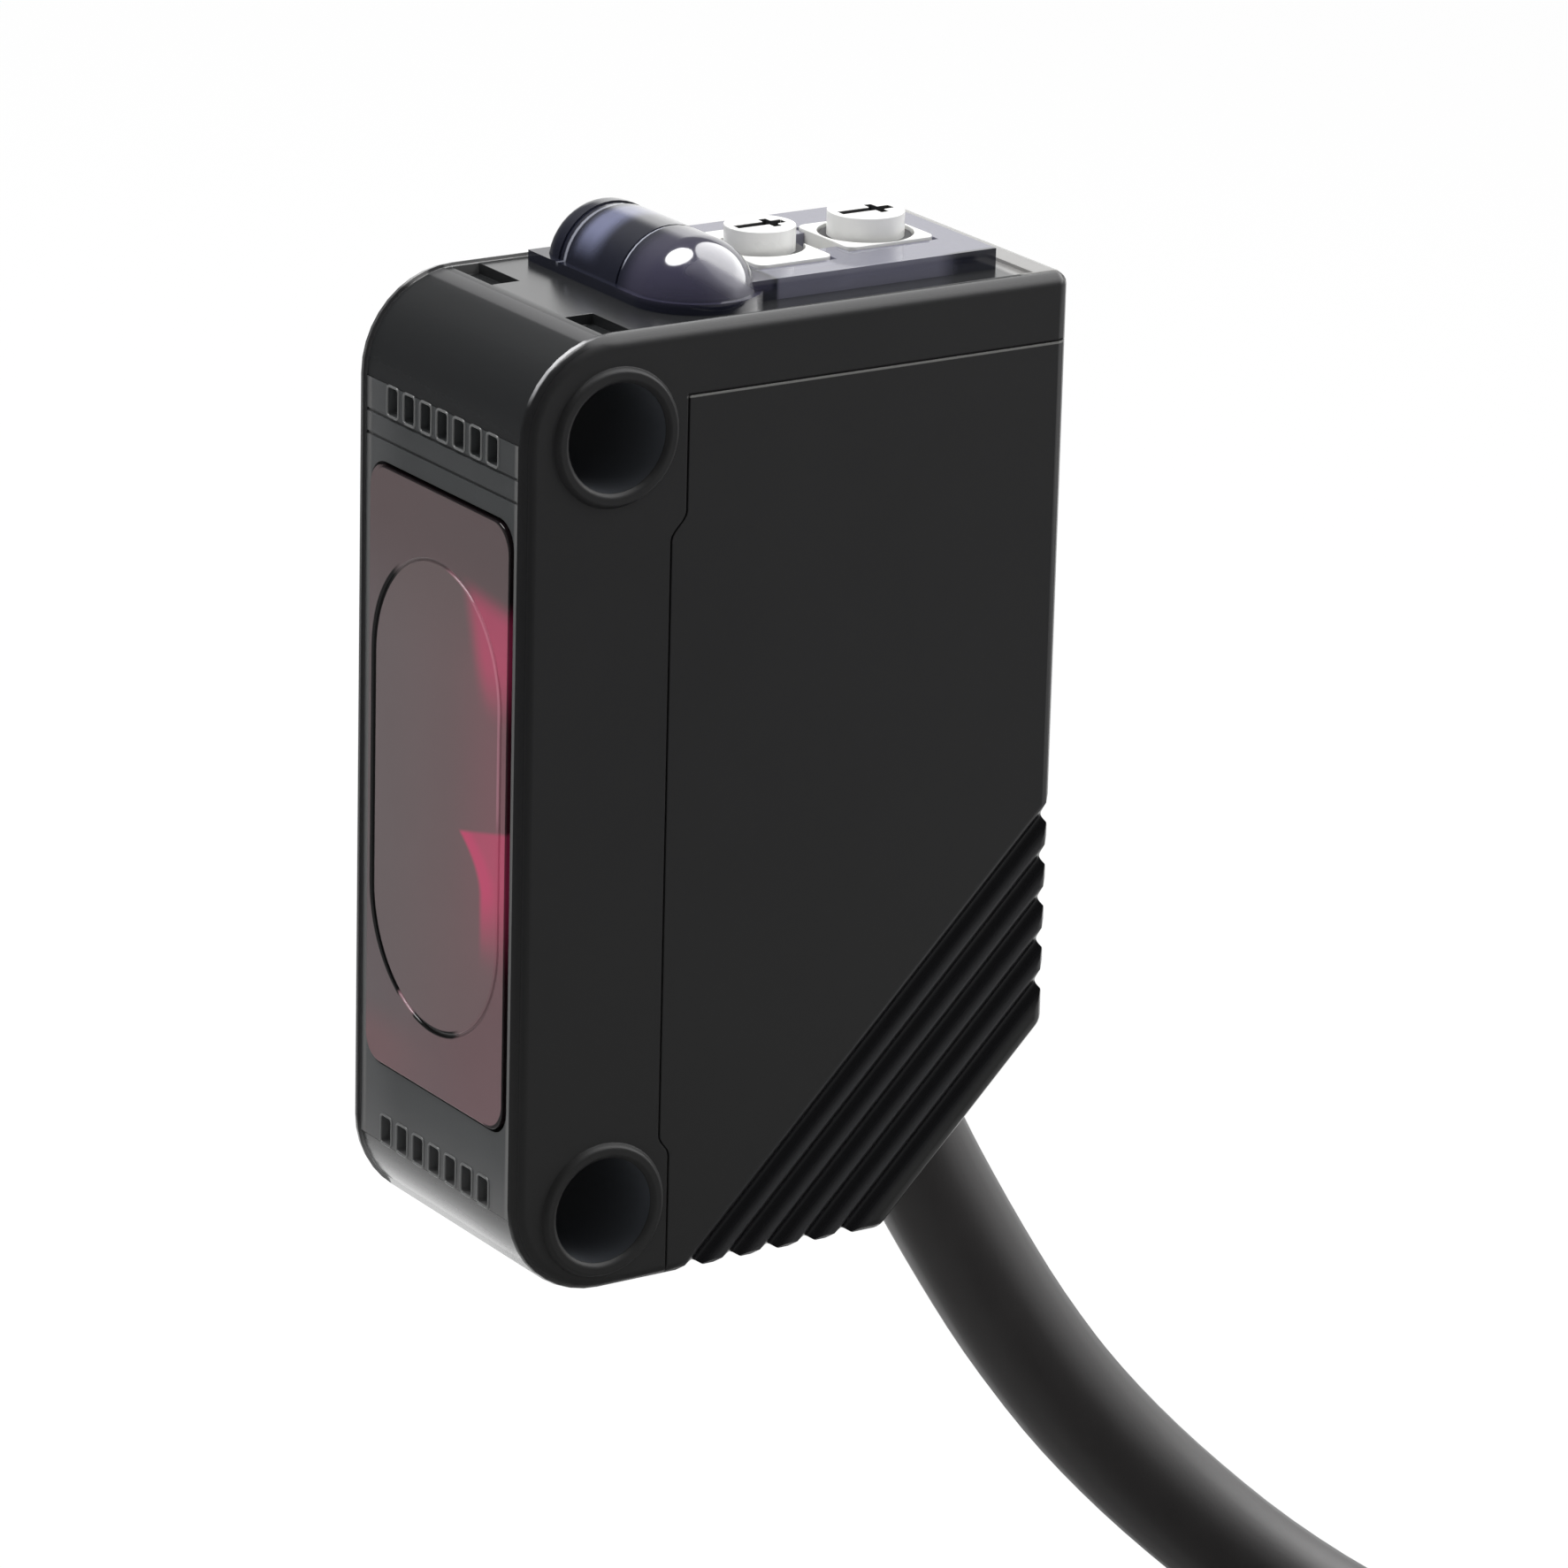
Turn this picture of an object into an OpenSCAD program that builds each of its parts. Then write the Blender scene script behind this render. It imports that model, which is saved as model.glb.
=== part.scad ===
// Miniature diffuse photoelectric sensor, square case, screwed down through two holes.
// Origin: midway between the two hole axes, on the middle plane. Front faces -Y, top +Z.

/* [Housing] */
// Width across the two side panels
case_w = 10.4; // [10:0.1:12]
// Depth from the front lips to the rear wall
case_d = 20.1; // [19.6:0.1:22]
// Radius of the two front corners, and height of the top above the upper hole
corner_r = 3.25; // [3.1:0.05:3.6]
// Distance from the lower hole axis down to the underside
bottom_drop = 2.75; // [2.6:0.05:3.4]
// Wall thickness
wall = 1; // [0.9:0.05:1.1]
// Rounding of the edges between the side panels and the rim
edge_r = 0.45; // [0.2:0.05:0.5]
// Size of the 45 degree cable corner
chamfer = 6.1; // [5.8:0.1:6.6]
// Width of the raised side lip round the front and top
lip_w = 0.45; // [0.3:0.05:0.6]
// Height of that lip
lip_h = 0.12; // [0.06:0.02:0.2]
// Width of the two pockets in the deck
pocket_w = 2.5; // [1.6:0.1:2.8]
// Length of those pockets
pocket_l = 1; // [0.6:0.1:1.4]
// Depth of those pockets
pocket_depth = 0.35; // [0.2:0.05:0.5]

/* [Mounting holes] */
// Distance between the two holes
hole_pitch = 25.4; // [25:0.1:27]
// Hole diameter, for a 3 mm screw
hole_d = 3.5; // [3.2:0.1:3.6]
// Wall of the tube round each hole
boss_wall = 0.6; // [0.5:0.05:0.7]
// Width of the raised rim round each hole
rim_w = 0.5; // [0.3:0.05:0.5]
// Height of that rim above the side panel
rim_h = 0.2; // [0.1:0.05:0.3]

/* [Case joint] */
// Depth of the joint behind the hole axes, at mid height
seam_y = 2.1; // [1.9:0.05:2.4]
// Distance of the top joint below the top of the case
seam_drop = 2.25; // [2.1:0.05:2.5]
// Width of the fine groove along the joint
seam_groove = 0.14; // [0.08:0.02:0.2]
// Length of the tongue inside the joint
tongue = 0.4; // [0.3:0.05:0.5]

/* [Grip ribs] */
// Number of grooves between the ribs
rib_count = 5; // [3:1:6]
// Distance between the ribs, square to them
rib_pitch = 1.01; // [0.9:0.01:1.1]
// Depth of the grooves
rib_depth = 0.3; // [0.15:0.05:0.35]

/* [Front] */
// Thickness of the front bezel
bezel_t = 0.78; // [0.7:0.02:0.8]
// Number of slots in each row
slot_count = 7; // [5:1:7]
// Width of one slot
slot_w = 0.64; // [0.5:0.02:0.7]
// Height of one slot
slot_h = 0.92; // [0.7:0.02:1]
// Distance between slots
slot_pitch = 1.02; // [0.9:0.01:1.04]
// Width of the bezel beside the window
bezel_side = 0.4; // [0.3:0.05:0.6]
// Height of the window
window_h = 19.95; // [19:0.05:20.2]
// Thickness of the window
window_t = 1; // [0.9:0.05:1.1]
// Corner radius of the window
window_r = 0.85; // [0.6:0.05:1.2]
// Width of the window's seal at its sides
seal_side = 0.35; // [0.3:0.05:0.45]
// Width of the window's seal at its ends
seal_end = 0.4; // [0.35:0.05:0.6]

/* [Optics] */
// Gap between the lens plate, which has round ends, and the sides of its opening
lens_gap = 0.15; // [0.1:0.05:0.4]
// Height of the lens plate
lens_h = 15.3; // [14.6:0.1:15.6]
// Distance from the middle to each lens axis
lens_offset = 3.95; // [3.8:0.05:4]
// Thickness of the lens plate
lens_t = 0.9; // [0.8:0.05:1]
// Bulge of each lens behind the plate
lens_bulge = 0.9; // [0.6:0.05:1]
// Length of the light chambers
chamber_l = 8; // [7.4:0.1:8.6]
// Diameter of the emitter
emitter_d = 2.5; // [2:0.1:2.6]
// Side of the square receiver shield
shield_w = 3.3; // [3:0.1:3.4]

/* [Display] */
// Radius of the indicator dome
dome_r = 2; // [1.8:0.05:2.1]
// Length of the dome across the case
dome_l = 8.1; // [7.6:0.1:8.4]
// Distance of the dome's middle behind the hole axes
dome_y = 4.65; // [4.4:0.05:4.7]
// Height of the dome above the top of the case
dome_rise = 1.9; // [1.6:0.05:2]
// Rounding of the dome's blunt end
dome_end_r = 0.95; // [0.5:0.05:1.2]
// Width of the low foot round the dome
foot_w = 0.2; // [0.1:0.05:0.25]
// Height of that foot above the deck
foot_h = 0.35; // [0.2:0.05:0.5]
// Depth of the fine ring grooves in the dome
ring_depth = 0.05; // [0.03:0.01:0.08]
// Width of the flat part of the cover
plate_w = 6.9; // [6.6:0.1:7.2]
// Distance from the rear wall to the end of the cover
plate_rear = 1.75; // [1.6:0.05:2]
// Height of the flat part above the top of the case
plate_rise = 0.55; // [0.45:0.05:0.7]
// Wall thickness of the cover
cover_wall = 0.5; // [0.4:0.05:0.6]

/* [Adjusters] */
// Diameter of the sensitivity adjuster
sens_d = 2.5; // [2.2:0.1:2.6]
// Diameter of the mode selector
mode_d = 2.3; // [2:0.1:2.4]
// Distance of the sensitivity adjuster behind the hole axes
sens_y = 12.4; // [12.3:0.1:12.7]
// Distance of the mode selector behind the hole axes
mode_y = 8.4; // [8.3:0.1:8.5]
// Height of the adjusters above the cover
knob_rise = 0.8; // [0.4:0.05:1.2]
// Gap round a turning adjuster
turn_gap = 0.06; // [0.04:0.01:0.08]

/* [Boards] */
// Thickness of the circuit boards
board_t = 0.8; // [0.6:0.05:1]
// Clearance of boards and inner pieces to the walls
fit = 0.05; // [0.03:0.01:0.08]

/* [Cable] */
// Outer diameter of the cable
cable_d = 4; // [3.6:0.1:4.2]
// Diameter of one insulated lead
lead_d = 1.1; // [0.9:0.05:1.2]
// Steepness of the cable where it leaves the case, below level
cable_slope = 60; // [52:1:66]
// Wall of the rubber grommet round the cable
grommet_wall = 0.45; // [0.35:0.05:0.5]

/* [Hidden] */
$fn = 48;

// Main planes of the case
hole_z = hole_pitch / 2;
hole_r = hole_d / 2;
boss_r = hole_r + boss_wall;
front_y = -corner_r;
rear_y = front_y + case_d;
top_z = hole_z + corner_r;
bottom_z = -hole_z - bottom_drop;
bottom_corner_z = bottom_z + corner_r;
inner_w = case_w - 2 * wall;
rear_r = 0.45;
chamfer_r = 0.6;
over = 1;
far = 40;

// Case joint
seam_z = top_z - seam_drop;
pocket_from = -0.1;
jog_up = 0.55;
jog_down = 0.36;
jog_up_from = hole_z - 3.6;
jog_up_to = hole_z - 2.7;
jog_down_from = -hole_z + 2.1;
jog_down_to = -hole_z + 1.4;

// Front stack, from the outside to the inside
field_y = front_y + lip_h;
field_w = case_w - 2 * lip_w;
bezel_w = field_w - 0.1;
bezel_back = field_y + bezel_t;
window_w = bezel_w - 2 * bezel_side;
window_z = 0.07;
window_gap = 0.09;
window_front = field_y - 0.09;
window_back = window_front + window_t;
seal_t = 0.3;
pocket_y = window_back + seal_t;
shelf_t = 0.4;
shelf_y = pocket_y + shelf_t;
opening_w = window_w - 2 * seal_side;
opening_h = window_h - 2 * seal_end;

// Optics
mask_y = pocket_y - 0.1;
lens_front = mask_y + 0.1;
lens_back = lens_front + lens_t;
lens_w = opening_w - 2 * lens_gap;
lens_r = lens_w / 2;
lens_cap_r = lens_r - 0.6;
lens_ball_r = (pow(lens_cap_r, 2) + pow(lens_bulge, 2)) / (2 * lens_bulge);
holder_h = opening_h + 0.65;
holder_back = shelf_y + chamber_l;
chamber_r = lens_r - 0.4;
throat_r = 1.5;
device_l = 1.6;
peg_r = 0.5;
peg_z = holder_h / 2 - 1;

// Boards
board_w = inner_w - 2 * fit;
front_board_back = holder_back + board_t;
main_x = -inner_w / 2 + 0.8;
main_rear = rear_y - wall - 0.1;
main_bottom = -9;
pin_w = 0.4;
pin_l = 1.6;
pin_pitch = 1.27;
display_z = seam_z - 1.5;
display_top = display_z + board_t;
display_front = 2.9;
display_rear = rear_y - wall - 0.1;

// Top cover
deck_z = top_z - lip_h;
dome_z = top_z + dome_rise - dome_r;
dome_in_r = dome_r - cover_wall;
plate_top = top_z + plate_rise;
plate_back = rear_y - plate_rear;
hatch_w = plate_w - 1.2;
hatch_front = dome_y - dome_in_r + 0.25;
hatch_back = plate_back - 0.5;
skirt_z = deck_z - 0.8;
cover_seal_t = 0.3;
cover_seal_w = 0.45;

// Adjusters
sens_r = sens_d / 2;
mode_r = mode_d / 2;
mode_body_w = 4.4;
mode_body_l = 2.8;
sens_body_w = 3.2;
sens_body_l = 3.3;
body_top = plate_top + 0.1;
knob_top = plate_top + knob_rise;
knob_floor = display_top + 0.6;
ring_t = 0.5;
ring_w = 0.3;

// Cable
cable_r = cable_d / 2;
lead_r = lead_d / 2;
exit_y = rear_y - chamfer / 2;
exit_z = bottom_z + chamfer / 2;
grommet_r = cable_r + grommet_wall;
flange_r = grommet_r + 0.5;
flange_t = 0.5;
cable_inside = 3.4;
clamp_end = 3.2;

// Route of the free cable, from inside the case to the top of the coil
route = [[0, 12.1, -9.456], [0, 13, -11.014], [0, 13.8, -12.4], [0, 14.9, -14.4], [0, 16, -16.4],
    [0, 17.8, -19.4], [0, 19.7, -22.3], [0, 21.9, -25.2], [0, 24.3, -27.9], [0.2, 27, -30.6],
    [0.7, 30, -33.3], [1.5, 33.3, -35.8], [2.7, 37, -38.1], [4.2, 40.8, -40], [6, 44.5, -41.3],
    [8.2, 48.2, -41.9], [10.4, 51.3, -42]];
route_sides = 8;

// Coil of the stored length
coil_x = 31;
coil_y = 35;
coil_in = 12;
coil_out = 28;
coil_top = -44;
coil_layers = 5;
coil_bottom = coil_top - coil_layers * cable_d;

// Points of an arc from angle a0 to a1
function arc(cy, cz, r, a0, a1, n) =
    [for (i = [0:n]) [cy + r * cos(a0 + (a1 - a0) * i / n), cz + r * sin(a0 + (a1 - a0) * i / n)]];

// Side outline of the case in Y and Z, moved inwards by g
function case_outline(g) = concat(
    arc(0, hole_z, corner_r - g, 90, 180, 10),
    arc(0, bottom_corner_z, corner_r - g, 180, 270, 10),
    arc(rear_y - chamfer - chamfer_r * tan(22.5), bottom_z + chamfer_r,
        max(chamfer_r - g, 0.01), 270, 315, 3),
    arc(rear_y - chamfer_r, bottom_z + chamfer + chamfer_r * tan(22.5),
        max(chamfer_r - g, 0.01), 315, 360, 3),
    arc(rear_y - rear_r, top_z - rear_r, max(rear_r - g, 0.01), 0, 90, 4));

// Side outline of the hollow, with plain corners
function hollow_outline(g) = [
    [front_y + g, bottom_z + g],
    [rear_y - chamfer - g * tan(22.5), bottom_z + g],
    [rear_y - g, bottom_z + chamfer + g * tan(22.5)],
    [rear_y - g, top_z - g],
    [front_y + g, top_z - g]];

// A soft step from y0 to y1 between two heights
function soft_step(y0, y1, z0, z1) =
    [for (i = [0:6]) [y0 + (y1 - y0) * (1 - cos(30 * i)) / 2, z0 + (z1 - z0) * i / 6]];

// Outline of the rear shell's side of the joint, its edge moved forwards and up by s
function seam_outline(s) = concat(
    [[seam_y + jog_down - s, bottom_z - far]],
    soft_step(seam_y + jog_down - s, seam_y - s, jog_down_to, jog_down_from),
    soft_step(seam_y - s, seam_y + jog_up - s, jog_up_from, jog_up_to),
    [[seam_y + jog_up - s, seam_z + s], [rear_y + far, seam_z + s], [rear_y + far, bottom_z - far]]);

// A rectangle with round corners
function round_box(w, h, r) = concat(
    arc(w / 2 - r, h / 2 - r, r, 0, 90, 6), arc(-w / 2 + r, h / 2 - r, r, 90, 180, 6),
    arc(-w / 2 + r, -h / 2 + r, r, 180, 270, 6), arc(w / 2 - r, -h / 2 + r, r, 270, 360, 6));

module along_x(w) {
    rotate([90, 0, 90])
        linear_extrude(w, center = true)
            children();
}

module along_y(y0, y1) {
    translate([0, y1, 0])
        rotate([90, 0, 0])
            linear_extrude(y1 - y0)
                children();
}

module along_z(z0, z1) {
    translate([0, 0, z0])
        linear_extrude(z1 - z0)
            children();
}

// A box from its lowest to its highest corner
module block(a, b) {
    translate(a)
        cube(b - a);
}

// A shape with straight sides and two round ends, upright
module stadium(w, h) {
    union() {
        square([w, h - w], center = true);
        for (s = [-1, 1])
            translate([0, s * (h - w) / 2])
                circle(d = w);
    }
}

// Things placed in the cable's direction: the exit is the zero, inwards is up
module on_cable() {
    translate([0, exit_y, exit_z])
        rotate([90 - cable_slope, 0, 0])
            children();
}

// Everything deeper than d behind the face of the cable corner
module behind_corner(d) {
    translate([0, exit_y, exit_z])
        rotate([45, 0, 0])
            translate([-far / 2, -far / 2, d])
                cube([far, far, far / 2]);
}

// Outside of the closed case, with rounded side edges
module case_body() {
    hull() {
        for (k = [0, 30, 60, 90])
            along_x(case_w - 2 * edge_r * (1 - cos(k)))
                polygon(case_outline(edge_r * (1 - sin(k))));
    }
}

// Rear part of the case, bounded by the joint
module rear_zone(s) {
    along_x(case_w + 2 * over)
        polygon(seam_outline(s));
}

// Inner half of the rear shell's wall, which reaches past the joint
module joint_tongue(gap) {
    intersection() {
        along_x(case_w - wall + 2 * gap)
            polygon(hollow_outline(wall / 2 - gap));
        rear_zone(tongue + gap);
    }
}

// The joint's fine groove: a thin band along its edge on the side panels
module joint_groove() {
    for (m = [-1, 1])
        translate([m * case_w / 2, 0, 0])
            along_x(seam_groove)
                difference() {
                    polygon(seam_outline(seam_groove / 2));
                    polygon(seam_outline(0));
                }
}

// The hollow of both shells
module case_hollow() {
    along_x(inner_w)
        polygon(hollow_outline(wall));
}

module hole_axes() {
    for (s = [-1, 1])
        translate([0, 0, s * hole_z])
            rotate([0, 90, 0])
                children();
}

// Rim round one mounting hole, raised above the panel on both sides
module hole_rims() {
    hole_axes()
        for (m = [0, 1])
            mirror([0, 0, m])
                translate([0, 0, case_w / 2 - edge_r])
                    rotate_extrude()
                        polygon([[hole_r, 0], [hole_r + rim_w, 0], [hole_r + rim_w, edge_r],
                            [hole_r + rim_w * 0.85, edge_r + rim_h * 0.7],
                            [hole_r + rim_w * 0.65, edge_r + rim_h],
                            [hole_r + rim_w * 0.35, edge_r + rim_h],
                            [hole_r + rim_w * 0.15, edge_r + rim_h * 0.7],
                            [hole_r, edge_r + rim_h * 0.3]]);
}

// Two pockets in the deck in front of the display
module deck_pockets() {
    for (m = [-1, 1])
        translate([m * (field_w / 2 - pocket_w / 2 - 0.05), pocket_from + pocket_l / 2,
            deck_z - pocket_depth])
            linear_extrude(over)
                square([pocket_w, pocket_l], center = true);
}

module front_case() {
    color([0.15, 0.155, 0.16])
        difference() {
            union() {
                difference() {
                    case_body();
                    rear_zone(0);
                    joint_tongue(fit);
                    joint_groove();
                    intersection() {
                        case_hollow();
                        block([-far, shelf_y, -far], [far, far, far]);
                        union() {
                            block([-far, shelf_y, -holder_h / 2 - 0.1], [far, far, holder_h / 2 + 0.1]);
                            block([-far, 0, -far], [far, far, far]);
                        }
                    }
                    along_y(front_y - over, pocket_y)
                        translate([0, window_z])
                            polygon(round_box(window_w + 2 * window_gap, window_h + 2 * window_gap,
                                window_r));
                    along_y(front_y - over, shelf_y + over)
                        polygon(round_box(opening_w, opening_h, 0.4));
                    along_y(front_y - over, bezel_back)
                        square([bezel_w + 0.04, hole_pitch], center = true);
                    along_x(field_w)
                        difference() {
                            translate([front_y - over, bottom_corner_z - corner_r * 0.8])
                                square([rear_y - front_y, far]);
                            polygon(case_outline(lip_h));
                            translate([rear_y - 1.2, 0])
                                square([far, far]);
                        }
                    along_z(deck_z - 1.5, top_z + over)
                        translate([0, (hatch_front + hatch_back) / 2])
                            square([hatch_w, hatch_back - hatch_front], center = true);
                    deck_pockets();
                    along_z(deck_z - cover_seal_t, top_z + over)
                        translate([0, (hatch_front + hatch_back) / 2])
                            square([hatch_w + 2 * cover_seal_w,
                                hatch_back - hatch_front + 2 * cover_seal_w], center = true);
                }
                hole_axes()
                    cylinder(r = boss_r, h = inner_w, center = true);
                hole_rims();
            }
            hole_axes()
                cylinder(r = hole_r, h = case_w + 4, center = true);
        }
}

// One groove between two ribs, with a round floor and round shoulders
module groove_outline(pitch, depth) {
    polygon(concat(
        [for (i = [-8:8]) [i * pitch / 16, -depth * (1 + cos(22.5 * i)) / 2]],
        [[pitch / 2, over], [-pitch / 2, over]]));
}

// Distance along the rear wall from the cable corner to groove i
function groove_up(i) = 1.58 + i * rib_pitch * sqrt(2);

// Grip ribs: grooves along the side panels, the rear wall and the underside
module rib_grooves() {
    slant = rib_pitch * sqrt(2);
    for (i = [0:rib_count - 1]) {
        for (m = [0, 1])
            mirror([m, 0, 0])
                translate([case_w / 2, rear_y, bottom_z + chamfer + groove_up(i)])
                    rotate([45, 0, 0])
                        rotate([0, 90, 0])
                            rotate([90, 0, 0])
                                linear_extrude(2 * far, center = true)
                                    groove_outline(rib_pitch, rib_depth);
        translate([0, rear_y, bottom_z + chamfer + groove_up(i)])
            along_x(case_w + over)
                rotate(-90)
                    groove_outline(slant, rib_depth);
        translate([0, rear_y - chamfer - groove_up(i), bottom_z])
            along_x(case_w + over)
                rotate(180)
                    groove_outline(slant, rib_depth);
    }
}

module rear_case() {
    color([0.15, 0.155, 0.16])
        difference() {
            union() {
                difference() {
                    intersection() {
                        case_body();
                        rear_zone(0);
                    }
                    rib_grooves();
                }
                joint_tongue(0);
            }
            difference() {
                case_hollow();
                guide_ribs();
            }
            on_cable()
                cylinder(r = grommet_r + 0.02, h = 8, center = true);
        }
}

// Ribs in the rear shell: a slot for the main board and two ledges for the display board
module guide_ribs() {
    for (x = [main_x - fit - 0.5, main_x + board_t + fit])
        block([x, main_rear - 0.8, main_bottom + 1], [x + 0.5, rear_y, display_z - 1]);
    for (m = [0, 1])
        mirror([m, 0, 0])
            block([inner_w / 2 - 0.4, display_front + 1, display_z - 0.6],
                [case_w / 2, display_rear - 2, display_z]);
}

// Slots along one row, centred
module slot_row() {
    for (i = [0:slot_count - 1])
        translate([(i - (slot_count - 1) / 2) * slot_pitch, 0])
            polygon(round_box(slot_w, slot_h, 0.12));
}

module front_bezel() {
    slot_floor = bezel_back - 0.2;
    color([0.3, 0.31, 0.31])
        difference() {
            along_y(field_y, bezel_back)
                square([bezel_w, hole_pitch - 0.04], center = true);
            along_y(front_y, bezel_back + over)
                translate([0, window_z])
                    polygon(round_box(window_w + 2 * window_gap, window_h + 2 * window_gap, window_r));
            along_y(front_y, slot_floor)
                translate([0, hole_z - 0.52])
                    slot_row();
            along_y(front_y, slot_floor)
                translate([0, -hole_z + 0.52])
                    slot_row();
            for (z = [hole_z - 1.1, hole_z - 1.85])
                along_y(front_y, field_y + 0.07)
                    translate([0, z])
                        square([bezel_w + over, 0.1], center = true);
        }
}

module window() {
    color([0.55, 0.38, 0.4, 0.6])
        difference() {
            along_y(window_front, window_back)
                translate([0, window_z])
                    polygon(round_box(window_w, window_h, window_r - 0.05));
            along_y(window_front - over, window_front + 0.06)
                difference() {
                    stadium(lens_w + 0.3, lens_h + 0.3);
                    stadium(lens_w + 0.1, lens_h + 0.1);
                }
        }
}

module window_seal() {
    color([0.08, 0.08, 0.08])
        along_y(window_back, pocket_y)
            difference() {
                translate([0, window_z])
                    polygon(round_box(window_w, window_h, window_r - 0.05));
                polygon(round_box(opening_w, opening_h, 0.4));
            }
}

module lens_plate() {
    color([0.85, 0.75, 0.78, 0.5])
        union() {
            along_y(lens_front, lens_back)
                stadium(lens_w, lens_h);
            for (s = [-1, 1])
                intersection() {
                    translate([0, lens_back + lens_bulge - lens_ball_r, s * lens_offset])
                        sphere(r = lens_ball_r);
                    translate([0, lens_back - 0.2, s * lens_offset])
                        rotate([-90, 0, 0])
                            cylinder(r = lens_cap_r, h = lens_bulge + over);
                }
        }
}

module optics_holder() {
    color([0.1, 0.1, 0.1])
        difference() {
            union() {
                along_y(mask_y, shelf_y)
                    polygon(round_box(opening_w - 2 * fit, opening_h - 2 * fit, 0.35));
                along_y(shelf_y, holder_back)
                    square([inner_w - 2 * fit, holder_h], center = true);
                for (s = [-1, 1])
                    translate([0, holder_back - 0.2, s * peg_z])
                        rotate([-90, 0, 0])
                            cylinder(r = peg_r, h = board_t + 0.4);
            }
            along_y(mask_y - over, lens_back)
                stadium(lens_w + 2 * fit, lens_h + 2 * fit);
            for (s = [-1, 1])
                translate([0, lens_back, s * lens_offset])
                    rotate([-90, 0, 0])
                        cylinder(r1 = chamber_r, r2 = throat_r, h = holder_back - device_l - lens_back);
            translate([0, holder_back - device_l - 0.4, lens_offset])
                rotate([-90, 0, 0])
                    cylinder(d = emitter_d + 4 * fit, h = device_l + over);
            along_y(holder_back - device_l - 0.2, holder_back + over)
                translate([0, -lens_offset])
                    square(shield_w + 2 * fit, center = true);
        }
}

module emitter_led() {
    color([0.9, 0.25, 0.25])
        translate([0, holder_back, lens_offset])
            rotate([90, 0, 0])
                union() {
                    cylinder(d = emitter_d, h = device_l);
                    translate([0, 0, device_l])
                        intersection() {
                            sphere(d = emitter_d);
                            cylinder(d = emitter_d, h = emitter_d);
                        }
                }
}

module receiver_chip() {
    chip_w = shield_w - 0.8;
    color([0.12, 0.1, 0.14])
        union() {
            along_y(holder_back - 0.8, holder_back)
                translate([0, -lens_offset])
                    square(chip_w, center = true);
            translate([0, holder_back - 0.8, -lens_offset])
                intersection() {
                    sphere(r = 0.6);
                    block([-1, -1, -1], [1, 0, 1]);
                }
        }
}

module receiver_shield() {
    tin = 0.2;
    color([0.75, 0.76, 0.78])
        difference() {
            along_y(holder_back - device_l, holder_back)
                translate([0, -lens_offset])
                    square(shield_w, center = true);
            along_y(holder_back - device_l + tin, holder_back + over)
                translate([0, -lens_offset])
                    square(shield_w - 2 * tin, center = true);
            translate([0, holder_back - device_l - over, -lens_offset])
                rotate([-90, 0, 0])
                    cylinder(r = 1, h = 3);
        }
}

module front_board() {
    color([0.1, 0.35, 0.2])
        difference() {
            along_y(holder_back, front_board_back)
                square([board_w, holder_h - 0.4], center = true);
            for (s = [-1, 1])
                translate([0, holder_back - over, s * peg_z])
                    rotate([-90, 0, 0])
                        cylinder(r = peg_r + fit, h = board_t + 2 * over);
        }
}

module main_board() {
    color([0.1, 0.35, 0.2])
        block([main_x, front_board_back, main_bottom], [main_x + board_t, main_rear, display_z]);
}

module display_board() {
    color([0.1, 0.35, 0.2])
        block([-board_w / 2, display_front, display_z], [board_w / 2, display_rear, display_top]);
}

// Angled pins that join the boards
module board_pins() {
    x0 = main_x + board_t;
    mid_y = (front_board_back + main_rear) / 2;
    color([0.8, 0.68, 0.35])
        for (i = [-2:2])
            translate([x0, 0, 0]) {
                translate([0, front_board_back, i * pin_pitch - pin_w / 2])
                    cube([pin_w, pin_l, pin_w]);
                translate([0, mid_y + i * pin_pitch - pin_w / 2, display_z - pin_l])
                    cube([pin_w, pin_w, pin_l]);
            }
}

module control_chip() {
    x0 = main_x + board_t;
    color([0.12, 0.12, 0.13])
        difference() {
            block([x0, 9.4, 1.4], [x0 + 0.9, 13.4, 5.4]);
            translate([x0 + 0.8, 9.9, 4.9])
                rotate([0, 90, 0])
                    cylinder(r = 0.2, h = over);
        }
}

module output_transistor() {
    x0 = main_x + board_t;
    color([0.14, 0.14, 0.15])
        union() {
            block([x0, 10.2, -2.4], [x0 + 1, 12.2, -0.9]);
            for (y = [10.4, 11.2, 12])
                block([x0, y - 0.15, -2.9], [x0 + 0.3, y + 0.15, -2.4]);
        }
}

// Small resistors and capacitors on the main board
module chip_components() {
    x0 = main_x + board_t;
    color([0.75, 0.68, 0.55])
        for (y = [9.2, 10.6, 12, 13.4])
            for (z = [6.6, 8])
                block([x0, y - 0.5, z - 0.25], [x0 + 0.45, y + 0.5, z + 0.25]);
}

// One indicator lamp on the display board
module indicator(x) {
    translate([x, dome_y, display_top])
        union() {
            translate([-0.8, -0.4, 0])
                cube([1.6, 0.8, 0.5]);
            translate([0, 0, 0.5])
                intersection() {
                    sphere(r = 0.4);
                    cylinder(r = 0.4, h = over);
                }
        }
}

module operation_led() {
    color([0.95, 0.45, 0.15])
        indicator(1.9);
}

module stability_led() {
    color([0.25, 0.8, 0.35])
        indicator(-1.9);
}

// Things placed along the dome's axis, which runs across the case and turns up into X
module on_dome(x) {
    translate([x, dome_y, dome_z])
        rotate([0, 90, 0])
            children();
}

// Rod across the case with a blunt end and a ball-shaped end
module dome_rod(r, x0, x1, end_r) {
    union() {
        on_dome(x0)
            rotate_extrude()
                polygon(concat([[0, x1 - r - x0], [0, 0]], arc(r - end_r, end_r, end_r, -90, 0, 8),
                    [[r, x1 - r - x0]]));
        on_dome(x1 - r)
            sphere(r = r);
    }
}

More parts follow.
